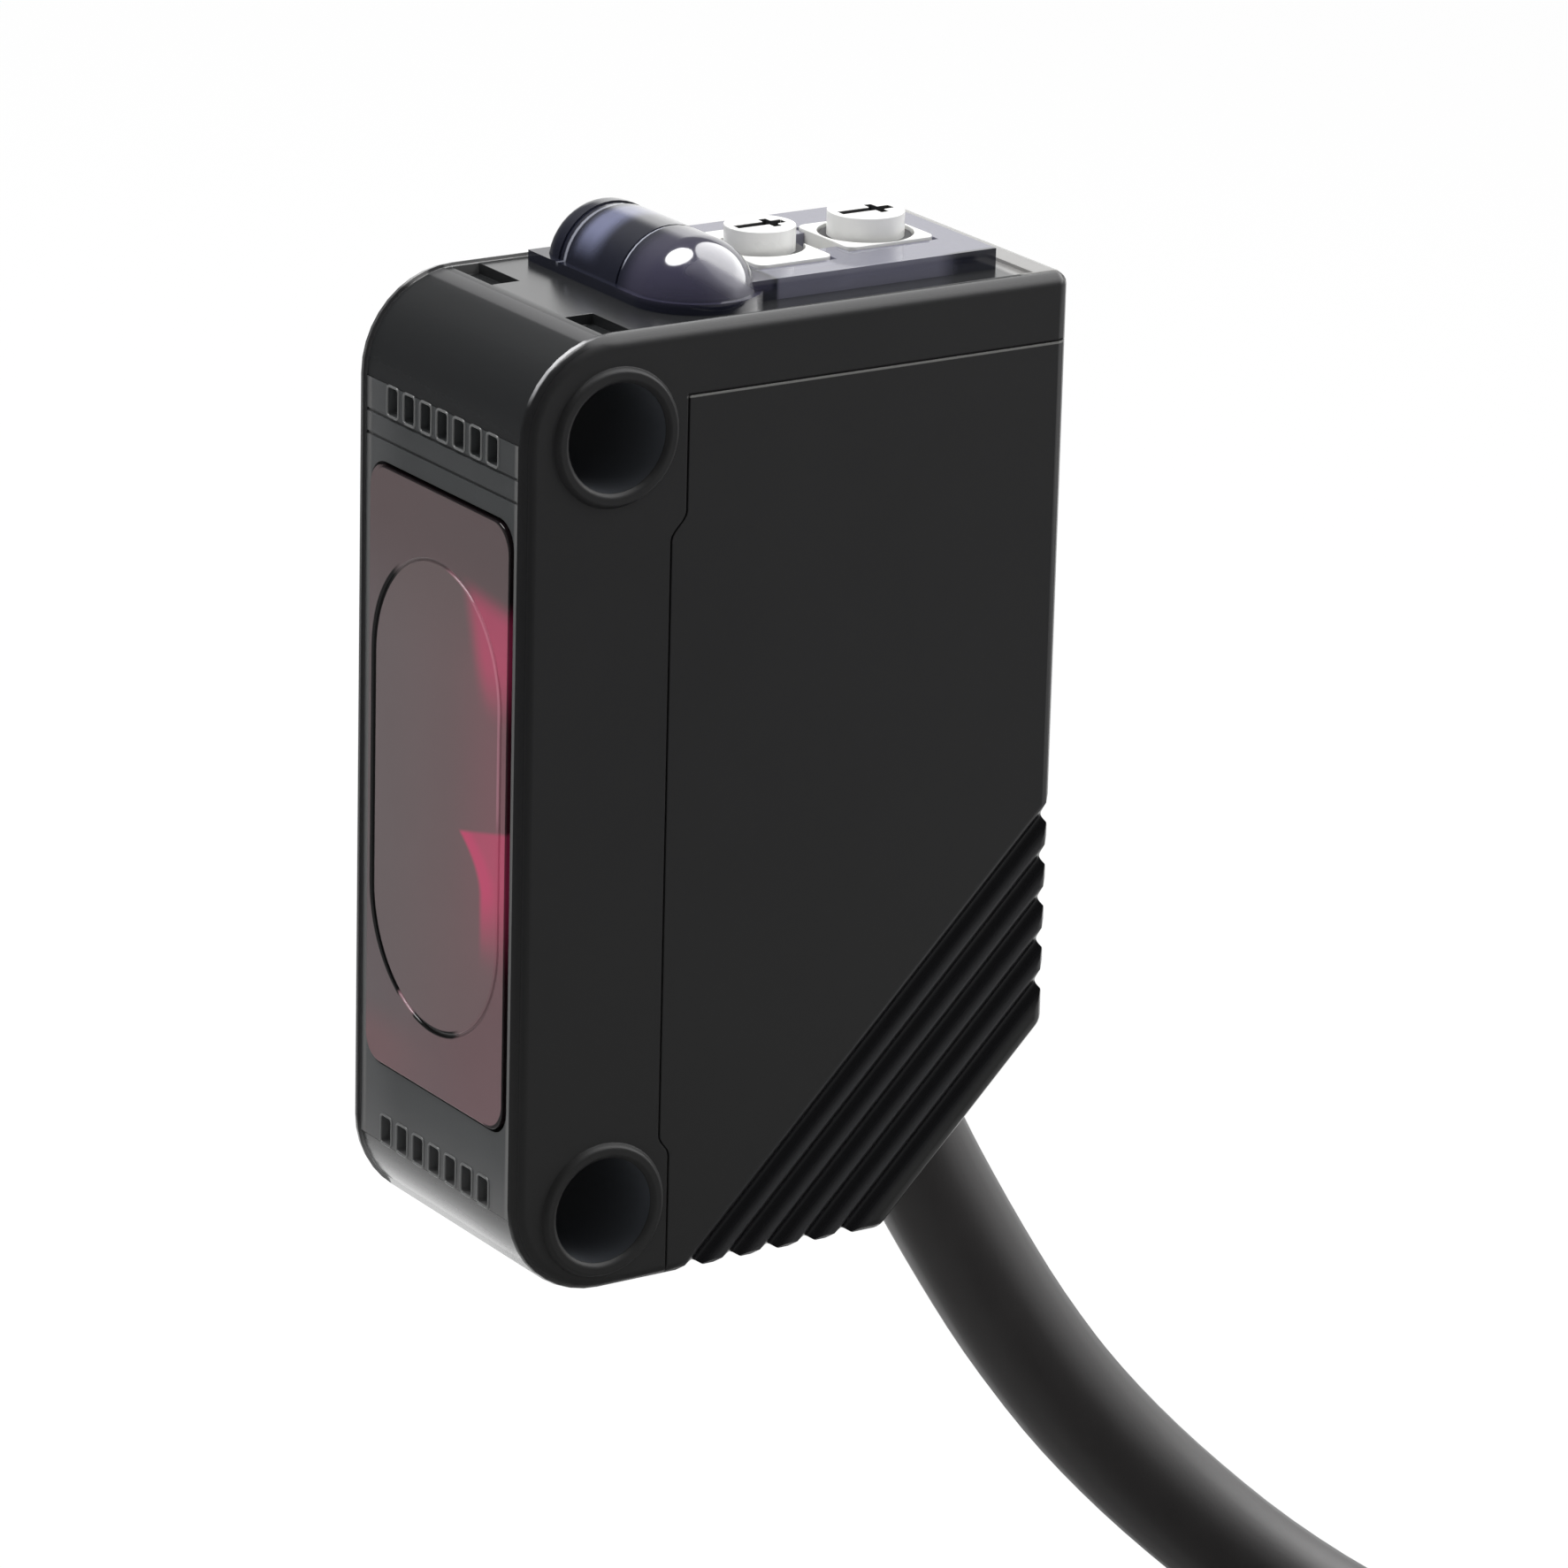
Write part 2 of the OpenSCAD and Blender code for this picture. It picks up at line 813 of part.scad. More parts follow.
// Ring groove round the dome
module dome_ring(x, w) {
    on_dome(x)
        difference() {
            cylinder(r = dome_r + over, h = w);
            translate([0, 0, -over])
                cylinder(r = dome_r - ring_depth, h = w + 2 * over);
        }
}

// Outline of the foot round the dome
module dome_foot(x0, x1) {
    translate([x1 - dome_r, dome_y])
        circle(r = dome_r + foot_w);
    translate([x0 - foot_w, dome_y - dome_r - foot_w])
        square([x1 - dome_r - x0 + foot_w, 2 * (dome_r + foot_w)]);
}

// Opening of the cover round both adjusters
module adjuster_window(g) {
    union() {
        translate([0, mode_y])
            square([mode_body_w + 2 * g, mode_body_l + 2 * g], center = true);
        translate([0, sens_y])
            square([sens_body_w + 2 * g, sens_body_l + 2 * g], center = true);
        translate([-0.95, mode_y])
            square([1.9, sens_y - mode_y]);
    }
}

module display_cover() {
    x0 = -dome_l / 2;
    x1 = dome_l / 2;
    color([0.25, 0.22, 0.35, 0.7])
        difference() {
            union() {
                intersection() {
                    difference() {
                        dome_rod(dome_r, x0, x1, dome_end_r);
                        dome_ring(0.63, 0.1);
                        dome_ring(-2.8, 0.5);
                    }
                    block([-far, -far, deck_z], [far, far, far]);
                }
                along_z(deck_z, deck_z + foot_h)
                    dome_foot(x0, x1);
                block([-plate_w / 2, dome_y, deck_z], [plate_w / 2, plate_back, plate_top]);
                block([-hatch_w / 2 + fit, hatch_front + fit, skirt_z],
                    [hatch_w / 2 - fit, hatch_back - fit, deck_z]);
            }
            difference() {
                intersection() {
                    dome_rod(dome_in_r, x0 + cover_wall, x1 - cover_wall, dome_end_r - 0.3);
                    block([-far, -far, deck_z - 0.01], [far, far, far]);
                }
                block([-0.2, -far, -far], [0.2, far, far]);
            }
            block([-hatch_w / 2 + cover_wall, hatch_front + cover_wall, skirt_z - over],
                [hatch_w / 2 - cover_wall, hatch_back - cover_wall, deck_z + 0.1]);
            along_z(skirt_z, plate_top + over)
                adjuster_window(fit);
        }
}

module display_seal() {
    color([0.08, 0.08, 0.08])
        along_z(deck_z - cover_seal_t, deck_z)
            translate([0, (hatch_front + hatch_back) / 2])
                difference() {
                    square([hatch_w + 2 * cover_seal_w - fit,
                        hatch_back - hatch_front + 2 * cover_seal_w - fit], center = true);
                    square([hatch_w, hatch_back - hatch_front], center = true);
                }
}

// Fixed body of an adjuster, with a round well for its rotor and ring
module adjuster_body(y, w, l, r) {
    difference() {
        along_z(display_top, body_top)
            translate([0, y])
                polygon(round_box(w, l, 0.35));
        translate([0, y, knob_floor])
            cylinder(r = r + turn_gap, h = far);
        translate([0, y, body_top - ring_t])
            cylinder(r = r + ring_w, h = far);
    }
}

// Rotor with a screwdriver slot and a pointer notch
module rotor(y, r) {
    difference() {
        translate([0, y, knob_floor])
            cylinder(r = r, h = knob_top - knob_floor);
        translate([-0.2, y - r * 0.78, knob_top - 0.45])
            cube([0.4, 2 * r * 0.78, over]);
        translate([-r * 0.45, y + r * 0.2, knob_top - 0.3])
            cube([2 * r * 0.45, 0.3, over]);
    }
}

// Sealing ring that turns with a rotor
module rotor_ring(y, r) {
    translate([0, y, body_top - ring_t])
        difference() {
            cylinder(r = r + ring_w - turn_gap, h = ring_t - 0.1);
            translate([0, 0, -over])
                cylinder(r = r, h = 3);
        }
}

module sensitivity_trimmer() {
    color([0.93, 0.93, 0.92])
        adjuster_body(sens_y, sens_body_w, sens_body_l, sens_r);
}

module sensitivity_adjuster() {
    color([0.97, 0.97, 0.96])
        rotor(sens_y, sens_r);
}

module sensitivity_ring() {
    color([0.2, 0.2, 0.2])
        rotor_ring(sens_y, sens_r);
}

module mode_switch() {
    color([0.93, 0.93, 0.92])
        adjuster_body(mode_y, mode_body_w, mode_body_l, mode_r);
}

module mode_selector() {
    color([0.97, 0.97, 0.96])
        rotor(mode_y, mode_r);
}

module mode_ring() {
    color([0.2, 0.2, 0.2])
        rotor_ring(mode_y, mode_r);
}

module cable_grommet() {
    color([0.07, 0.07, 0.07])
        difference() {
            union() {
                intersection() {
                    on_cable()
                        cylinder(r = grommet_r, h = 8, center = true);
                    behind_corner(0);
                }
                intersection() {
                    on_cable()
                        cylinder(r = flange_r, h = 12, center = true);
                    behind_corner(wall);
                }
            }
            behind_corner(wall + flange_t);
            on_cable()
                cylinder(r = cable_r + 0.02, h = 20, center = true);
        }
}

module cable_clamp() {
    color([0.72, 0.73, 0.75])
        intersection() {
            on_cable()
                difference() {
                    cylinder(r = grommet_r, h = clamp_end);
                    translate([0, 0, -over])
                        cylinder(r = cable_r + 0.02, h = clamp_end + 2 * over);
                }
            behind_corner(wall + flange_t);
        }
}

// Directions, rings and skin of a tube swept through points
function unit(v) = v / norm(v);
function way(p, i) = unit(p[min(i + 1, len(p) - 1)] - p[max(i - 1, 0)]);
function ring(p, i, r, s) =
    let (t = way(p, i), side = unit(cross(t, [0.999, 0.03, 0.02])), up = cross(side, t))
    [for (k = [0:s - 1]) p[i] + r * (cos(360 * k / s) * side + sin(360 * k / s) * up)];

module tube(p, r, s) {
    n = len(p);
    polyhedron(
        points = [for (i = [0:n - 1]) each ring(p, i, r, s)],
        faces = concat(
            [[for (k = [0:s - 1]) k]],
            [for (i = [0:n - 2]) for (k = [0:s - 1])
                [i * s + k, (i + 1) * s + k, (i + 1) * s + (k + 1) % s, i * s + (k + 1) % s]],
            [[for (k = [0:s - 1]) n * s - 1 - k]]));
}

// Points of a smooth curve that starts at a along da and ends at b along db
function bend(a, da, b, db, n) =
    [for (i = [0:n]) let (t = i / n, u = 1 - t)
        u * u * u * a + 3 * u * u * t * (a + da) + 3 * u * t * t * (b - db) + t * t * t * b];

// Inner end of lead number k, from the cable to its pad on the main board
module inner_lead(k) {
    a = 90 + 120 * k;
    start = [0.75 * cos(a), exit_y - cable_inside * cos(cable_slope) + 0.75 * sin(a) * sin(cable_slope),
        exit_z + cable_inside * sin(cable_slope) + 0.75 * sin(a) * cos(cable_slope)];
    along = [0, -cos(cable_slope), sin(cable_slope)];
    pad = [main_x + board_t, 12.6 - 1.9 * k, -4.4 + 0.5 * k];
    tube(concat(bend(start, 2.2 * along, pad + [0.3, 0, 0], [-2.2, 0, 0], 10), [pad]), lead_r, 8);
}

module brown_lead() {
    color([0.4, 0.22, 0.12])
        inner_lead(0);
}

module blue_lead() {
    color([0.1, 0.3, 0.7])
        inner_lead(1);
}

module black_lead() {
    color([0.06, 0.06, 0.06])
        inner_lead(2);
}

module cable_sheath() {
    color([0.14, 0.14, 0.15])
        tube(route, cable_r, route_sides);
}

module cable_coil() {
    color([0.14, 0.14, 0.15])
        translate([coil_x, coil_y, coil_bottom])
            rotate_extrude($fn = 96)
                translate([coil_in, 0])
                    square([coil_out - coil_in, coil_top - coil_bottom]);
}

// Bare end of lead number k, curved clockwise inside the coil
module tail(k, r, a0, a1) {
    translate([coil_x, coil_y, coil_bottom + lead_r])
        rotate([0, 0, -a1])
            rotate_extrude(angle = a1 - a0, $fn = 96)
                translate([coil_in - lead_r - 0.05 - k * (lead_d + 0.1), 0])
                    circle(r = r, $fn = 24);
}

module brown_tail() {
    color([0.4, 0.22, 0.12])
        tail(0, lead_r, 0, 110);
}

module blue_tail() {
    color([0.1, 0.3, 0.7])
        tail(1, lead_r, 0, 122);
}

module black_tail() {
    color([0.06, 0.06, 0.06])
        tail(2, lead_r, 0, 136);
}

module tinned_tips() {
    color([0.78, 0.79, 0.8]) {
        tail(0, lead_r * 0.7, 110, 135);
        tail(1, lead_r * 0.7, 122, 150);
        tail(2, lead_r * 0.7, 136, 168);
    }
}

front_case();
rear_case();
front_bezel();
window();
window_seal();
lens_plate();
optics_holder();
emitter_led();
receiver_chip();
receiver_shield();
front_board();
main_board();
display_board();
board_pins();
control_chip();
output_transistor();
chip_components();
operation_led();
stability_led();
display_cover();
display_seal();
sensitivity_trimmer();
sensitivity_adjuster();
sensitivity_ring();
mode_switch();
mode_selector();
mode_ring();
cable_grommet();
cable_clamp();
brown_lead();
blue_lead();
black_lead();
cable_sheath();
cable_coil();
brown_tail();
blue_tail();
black_tail();
tinned_tips();
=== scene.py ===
import math
from collections import namedtuple

import bmesh
import bpy
from mathutils import Matrix, Vector


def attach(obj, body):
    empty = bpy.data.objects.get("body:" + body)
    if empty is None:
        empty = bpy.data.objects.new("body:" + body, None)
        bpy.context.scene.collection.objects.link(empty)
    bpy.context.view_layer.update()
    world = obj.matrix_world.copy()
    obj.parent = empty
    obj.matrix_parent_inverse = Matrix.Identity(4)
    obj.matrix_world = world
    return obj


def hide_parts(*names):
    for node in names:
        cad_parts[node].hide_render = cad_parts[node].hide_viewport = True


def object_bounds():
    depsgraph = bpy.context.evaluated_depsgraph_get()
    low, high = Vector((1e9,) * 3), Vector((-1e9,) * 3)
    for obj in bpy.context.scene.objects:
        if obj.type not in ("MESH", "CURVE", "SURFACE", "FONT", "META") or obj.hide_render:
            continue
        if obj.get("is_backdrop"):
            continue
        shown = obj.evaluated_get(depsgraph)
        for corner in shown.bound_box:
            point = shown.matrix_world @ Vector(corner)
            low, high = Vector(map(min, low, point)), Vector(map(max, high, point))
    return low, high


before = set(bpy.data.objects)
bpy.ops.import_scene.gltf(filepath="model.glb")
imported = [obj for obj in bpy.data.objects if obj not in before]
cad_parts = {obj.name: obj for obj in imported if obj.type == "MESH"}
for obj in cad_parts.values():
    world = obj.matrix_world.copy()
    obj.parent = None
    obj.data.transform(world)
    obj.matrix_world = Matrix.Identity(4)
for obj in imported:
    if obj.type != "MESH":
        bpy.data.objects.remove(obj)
cad_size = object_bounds()

# Everything is shaped in millimetres and scaled to metres when it is finished. X runs across the case, the window
# faces -Y and Z is up. The middle lies halfway between the two screw holes.
MM = 0.001
PER_METRE = 1000


# Camera, in metres, degrees and millimetres of lens

CAMERA_PLACE = (0.20602846, -0.12460919, 0.07990802)
CAMERA_HEADING, CAMERA_DROP, CAMERA_ROLL = 56.8711, 18.3224, 1.46686
CAMERA_LENS, CAMERA_SENSOR = 183.756, 36


def place_camera():
    lens = bpy.data.cameras.new("view")
    lens.lens = CAMERA_LENS
    lens.sensor_width = CAMERA_SENSOR
    camera = bpy.data.objects.new("view", lens)
    camera.matrix_world = (
        Matrix.Translation(CAMERA_PLACE)
        @ Matrix.Rotation(math.radians(CAMERA_HEADING), 4, "Z")
        @ Matrix.Rotation(math.radians(90 - CAMERA_DROP), 4, "X")
        @ Matrix.Rotation(math.radians(CAMERA_ROLL), 4, "Z")
    )
    bpy.context.collection.objects.link(camera)
    bpy.context.scene.camera = camera


place_camera()


# Node trees

class Socket:
    """A socket of a node tree. A sum written with it adds its Math nodes."""

    def __init__(self, nodes, socket):
        self.nodes = nodes
        self.socket = socket

    def __getitem__(self, name):
        return Socket(self.nodes, self.socket.node.outputs[name])

    def math(self, operation, *values):
        return self.nodes.math(operation, self, *values)

    def at_least(self, other):
        return self.math("MAXIMUM", other)

    def at_most(self, other):
        return self.math("MINIMUM", other)

    def root(self):
        return self.math("SQRT")

    def __add__(self, other):
        return self.math("ADD", other)

    def __radd__(self, other):
        return self.math("ADD", other)

    def __sub__(self, other):
        return self.math("SUBTRACT", other)

    def __rsub__(self, other):
        return self.nodes.math("SUBTRACT", other, self)

    def __mul__(self, other):
        return self.math("MULTIPLY", other)

    def __rmul__(self, other):
        return self.math("MULTIPLY", other)

    def __truediv__(self, other):
        return self.math("DIVIDE", other)

    def __rtruediv__(self, other):
        return self.nodes.math("DIVIDE", other, self)

    def __pow__(self, other):
        return self.math("POWER", other)

    def __abs__(self):
        return self.math("ABSOLUTE")


class Nodes:
    """Adds nodes to one tree."""

    def __init__(self, tree):
        self.tree = tree
        tree.nodes.clear()

    def add(self, kind, settings=None, inputs=None, output=0):
        """A node of that kind, its settings first and then its inputs, as one of its outputs."""
        node = self.tree.nodes.new(kind)
        for name, value in (settings or {}).items():
            setattr(node, name, value)
        for name, value in (inputs or {}).items():
            if isinstance(value, Socket):
                self.tree.links.new(value.socket, node.inputs[name])
            else:
                node.inputs[name].default_value = value
        return Socket(self, node.outputs[output]) if node.outputs else None

    def math(self, operation, *values):
        return self.add("ShaderNodeMath", {"operation": operation}, dict(enumerate(values)))

    def vector(self, operation, *values, output=0):
        return self.add("ShaderNodeVectorMath", {"operation": operation}, dict(enumerate(values)), output)

    def split(self, place):
        parts = self.add("ShaderNodeSeparateXYZ", None, {0: place})
        return parts["X"], parts["Y"], parts["Z"]

    def ramp(self, value, low, high):
        """0 below low and 1 above high, soft between them. It falls where high is the lower one."""
        made = self.add("ShaderNodeMapRange", {"interpolation_type": "SMOOTHSTEP"},
                        {"Value": value, "From Min": min(low, high), "From Max": max(low, high)})
        return 1 - made if high < low else made


class Paint(Nodes):
    """Nodes of one material, whose places are in millimetres."""

    def place(self):
        """Object coordinates in millimetres."""
        spot = self.add("ShaderNodeTexCoord", output="Object")
        return self.add("ShaderNodeMapping", {"vector_type": "POINT"}, {"Vector": spot, "Scale": (PER_METRE,) * 3})

    def along(self):
        """The piece's own map: round the piece in X, along it in millimetres in Y."""
        return self.add("ShaderNodeUVMap", {"uv_map": "along"})

    def noise(self, place, scale, detail=2):
        return self.add("ShaderNodeTexNoise", {"noise_dimensions": "3D"},
                        {"Vector": place, "Scale": scale, "Detail": detail, "Roughness": 0.6})

    def cells(self, place, scale):
        return self.add("ShaderNodeTexVoronoi", {"feature": "F1"}, {"Vector": place, "Scale": scale})

    def blend(self, share, first, second):
        """The first colour, turning into the second one."""
        return self.add("ShaderNodeMix", {"data_type": "RGBA"}, {0: share, 6: first, 7: second}, 2)

    def layers(self, colour, *coats):
        """A colour with others over it, each given as its share and its colour."""
        for share, coat in coats:
            colour = self.blend(share, colour, coat)
        return colour

    def bump(self, height, depth):
        """Relief from a height of 0 to 1, with its depth in millimetres."""
        return self.add("ShaderNodeBump", None, {"Height": height, "Distance": depth * MM, "Strength": 1})


def started_tree(name, sizes):
    """A new Geometry Nodes tree with those named inputs, as its nodes and what it is given."""
    tree = bpy.data.node_groups.new(name, "GeometryNodeTree")
    nodes = Nodes(tree)
    tree.interface.new_socket("Geometry", in_out="INPUT", socket_type="NodeSocketGeometry")
    for label, value in sizes.items():
        kind = "NodeSocketInt" if isinstance(value, int) else "NodeSocketFloat"
        tree.interface.new_socket(label, in_out="INPUT", socket_type=kind).default_value = value
    tree.interface.new_socket("Geometry", in_out="OUTPUT", socket_type="NodeSocketGeometry")
    return nodes, nodes.add("NodeGroupInput")


def ended_tree(nodes, made, finish_used):
    """The tree, with its copies made real and given their finish."""
    made = nodes.add("GeometryNodeRealizeInstances", None, {"Geometry": made})
    made = nodes.add("GeometryNodeSetMaterial", None, {"Geometry": made, "Material": finish_used})
    nodes.add("NodeGroupOutput", None, {"Geometry": made})
    return nodes.tree


# Mesh tools

SOFT_ANGLE = 50     # edges blunter than this are shaded smooth
EASED_ANGLE = 35    # edges sharper than this get a small round
EASED, EASED_MORE = 0.02, 0.03


def new_mesh(name, points, faces):
    mesh = bpy.data.meshes.new(name)
    mesh.from_pydata([tuple(p) for p in points], [], faces)
    mesh.validate()
    return mesh


def worked(mesh, kind, **settings):
    """The mesh after one modifier. A node tree's inputs are given by their names."""
    rough = bpy.data.objects.new("rough", mesh)
    bpy.context.collection.objects.link(rough)
    step = rough.modifiers.new(kind.lower(), kind)
    wanted = settings.pop("inputs", {})
    for key, value in settings.items():
        setattr(step, key, value)
    for named, value in wanted.items():
        step[step.node_group.interface.items_tree[named].identifier] = value
    graph = bpy.context.evaluated_depsgraph_get()
    made = bpy.data.meshes.new_from_object(rough.evaluated_get(graph), preserve_all_data_layers=True, depsgraph=graph)
    bpy.data.objects.remove(rough)
    return made


def smoothed(mesh, soft=SOFT_ANGLE):
    """Smooth shading over edges blunter than soft degrees, in which large faces stay flat."""
    limit = math.cos(math.radians(soft))
    faces = [(face.normal.copy(), face.area ** 3) for face in mesh.polygons]
    around_point = [[] for _ in mesh.vertices]
    for face in mesh.polygons:
        for corner in face.vertices:
            around_point[corner].append(face.index)
    normals = []
    for face in mesh.polygons:
        for corner in face.vertices:
            near = [faces[i] for i in around_point[corner] if faces[i][0].dot(face.normal) > limit]
            largest = max(weight for _, weight in near) or 1
            normals.append(sum((normal * (weight / largest) for normal, weight in near), Vector()).normalized())
    mesh.shade_smooth()
    mesh.set_sharp_from_angle(angle=math.radians(soft))
    mesh.normals_split_custom_set(normals)
    return mesh


def eased(mesh, width=EASED):
    """The mesh with a small round on its sharp edges, and flat shading on its flat faces."""
    return smoothed(worked(mesh, "BEVEL", width=width, segments=2, limit_method="ANGLE",
                           angle_limit=math.radians(EASED_ANGLE), use_clamp_overlap=False))


def cad_shape(node):
    """A node's shape in millimetres, with its loose triangles joined into whole faces."""
    same_point, same_plane = 0.0005, math.radians(0.6)
    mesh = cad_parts[node].data.copy()
    mesh.materials.clear()
    mesh.transform(Matrix.Scale(PER_METRE, 4))
    if mesh.has_custom_normals:
        mesh.attributes.remove(mesh.attributes["custom_normal"])
    form = bmesh.new()
    form.from_mesh(mesh)
    bmesh.ops.remove_doubles(form, verts=form.verts, dist=same_point)
    bmesh.ops.dissolve_limit(form, angle_limit=same_plane, verts=form.verts, edges=form.edges)
    form.to_mesh(mesh)
    form.free()
    return mesh


def kept(name, mesh, finishes, body="sensor_body", nodes=()):
    """The finished piece, in metres, on its body, in place of the CAD nodes that it stands for."""
    mesh.transform(Matrix.Scale(MM, 4))
    mesh.name = name
    mesh.materials.clear()
    for made in finishes:
        mesh.materials.append(made)
    piece = bpy.data.objects.new(name, mesh)
    bpy.context.collection.objects.link(piece)
    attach(piece, body)
    if nodes:
        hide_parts(*nodes)
    return piece


def dressed(name, node, finishes, body="sensor_body", width=EASED):
    """A CAD node's own shape with eased edges, in place of the node."""
    return kept(name, eased(cad_shape(node), width), finishes, body, [node])


def recolour(piece, chosen):
    """Faces whose middle, in millimetres, is a chosen one get the second of the piece's finishes."""
    for face in piece.data.polygons:
        if chosen(face.center / MM):
            face.material_index = 1


def mix(first, second, share):
    return first + (second - first) * share


def smooth_line(points, steps):
    """More points on a smooth curve through the given ones."""
    spots = [Vector(p) for p in points]
    spots = [2 * spots[0] - spots[1], *spots, 2 * spots[-1] - spots[-2]]
    line = []
    for a, b, c, d in zip(spots, spots[1:], spots[2:], spots[3:]):
        for k in range(steps):
            t = k / steps
            line.append(0.5 * (2 * b + (c - a) * t + (2 * a - 5 * b + 4 * c - d) * t ** 2
                               + (3 * b - a - 3 * c + d) * t ** 3))
    line.append(spots[-2])
    return line


def tube(name, line, radius, sides):
    """A closed tube along a line. The map runs round it in X and along it in millimetres in Y."""
    line = [Vector(p) for p in line]
    last = len(line) - 1
    ways = [(line[min(i + 1, last)] - line[max(i - 1, 0)]).normalized() for i in range(len(line))]
    side = ways[0].orthogonal().normalized()
    points, runs = [], []
    run = 0
    for i, (spot, way) in enumerate(zip(line, ways)):
        side = (side - way * side.dot(way)).normalized()
        up = way.cross(side)
        run += (spot - line[i - 1]).length if i else 0
        runs.append(run)
        for k in range(sides):
            a = 2 * math.pi * k / sides
            points.append(spot + radius * (math.cos(a) * side + math.sin(a) * up))

    faces, maps = [], []
    for i in range(last):
        for k in range(sides):
            j = (k + 1) % sides
            faces.append((i * sides + k, i * sides + j, (i + 1) * sides + j, (i + 1) * sides + k))
            maps += [(k, i), (k + 1, i), (k + 1, i + 1), (k, i + 1)]
    faces.append(tuple(reversed(range(sides))))
    faces.append(tuple(last * sides + k for k in range(sides)))
    maps += [(k, i) for i in (0, last) for k in range(sides)]

    mesh = new_mesh(name, points, faces)
    layer = mesh.uv_layers.new(name="along")
    for loop, (k, i) in enumerate(maps):
        layer.data[loop].uv = (k / sides, runs[i])
    mesh.shade_smooth()
    mesh.set_sharp_from_angle(angle=math.radians(SOFT_ANGLE))
    return mesh


# Finishes

RIB_PITCH = 1.01
RIB_START = 17.409           # from the middle to where the grip ribs start, square to them
LENS_X, LENS_R = -0.1, 3.87  # outline of the lens plate: its middle, the radius of its round ends
LENS_STRAIGHT = 3.875        # and half the length of its straight sides
PANE_X, PANE_Z = 3.3, 8.975  # where the window's round corners start, from its own middle
PANE_MIDDLE_Z = 0.075


def tone(red, green, blue):
    """A screen colour of 0 to 255 as the shader takes it."""
    flat = [c / 255 for c in (red, green, blue)]
    return tuple(c / 12.92 if c <= 0.04045 else ((c + 0.055) / 1.055) ** 2.4 for c in flat) + (1,)


def lighter(colour, times):
    return tuple(min(1, c * times) for c in colour[:3]) + (1,)


def finish(name, painter, **fixed):
    """A material. The painter gives what varies over the surface, and fixed holds the rest."""
    made = bpy.data.materials.new(name)
    made.use_nodes = True
    paint = Paint(made.node_tree)
    varied = painter(paint)
    fixed = {key.replace("_", " "): value for key, value in fixed.items()}
    surface = paint.add("ShaderNodeBsdfPrincipled", None, {**fixed, **varied})
    paint.add("ShaderNodeOutputMaterial", None, {"Surface": surface})
    return made


def moulded(name, colour, rough, grain, depth, mottle=0.12, **fixed):
    """Moulded plastic or rubber: a fine grain, and slow changes of colour and gloss."""
    def painter(paint):
        place = paint.place()
        slow = paint.noise(place, 0.35, detail=3)
        fine = paint.noise(place, grain)
        return {
            "Base Color": paint.blend(slow * 0.7 + fine * 0.3,
                                      lighter(colour, 1 - mottle), lighter(colour, 1 + mottle)),
            "Roughness": rough - 0.04 + slow * 0.08,
            "Normal": paint.bump(fine, depth),
        }
    return finish(name, painter, **fixed)


def jacket(name, colour, rough):
    """The skin of a cable or a wire: fine lines along it, and slow changes across them."""
    def painter(paint):
        lines = paint.noise(paint.vector("MULTIPLY", paint.along(), (1, 0.02, 0)), 24)
        slow = paint.noise(paint.place(), 0.3)
        fine = paint.noise(paint.place(), 9)
        return {
            "Base Color": paint.blend(lines * 0.5 + slow * 0.5, lighter(colour, 0.85), lighter(colour, 1.2)),
            "Roughness": rough - 0.05 + lines * 0.1,
            "Normal": paint.bump(lines * 0.6 + fine * 0.4, 0.006),
        }
    return finish(name, painter)


def metal(name, colour, rough):
    def painter(paint):
        worn = paint.noise(paint.place(), 3, detail=3)
        return {
            "Base Color": paint.blend(worn, lighter(colour, 0.8), lighter(colour, 1.1)),
            "Roughness": rough + worn * 0.15,
            "Metallic": 0.92 + worn * 0.06,
            "Normal": paint.bump(worn, 0.004),
        }
    return finish(name, painter)


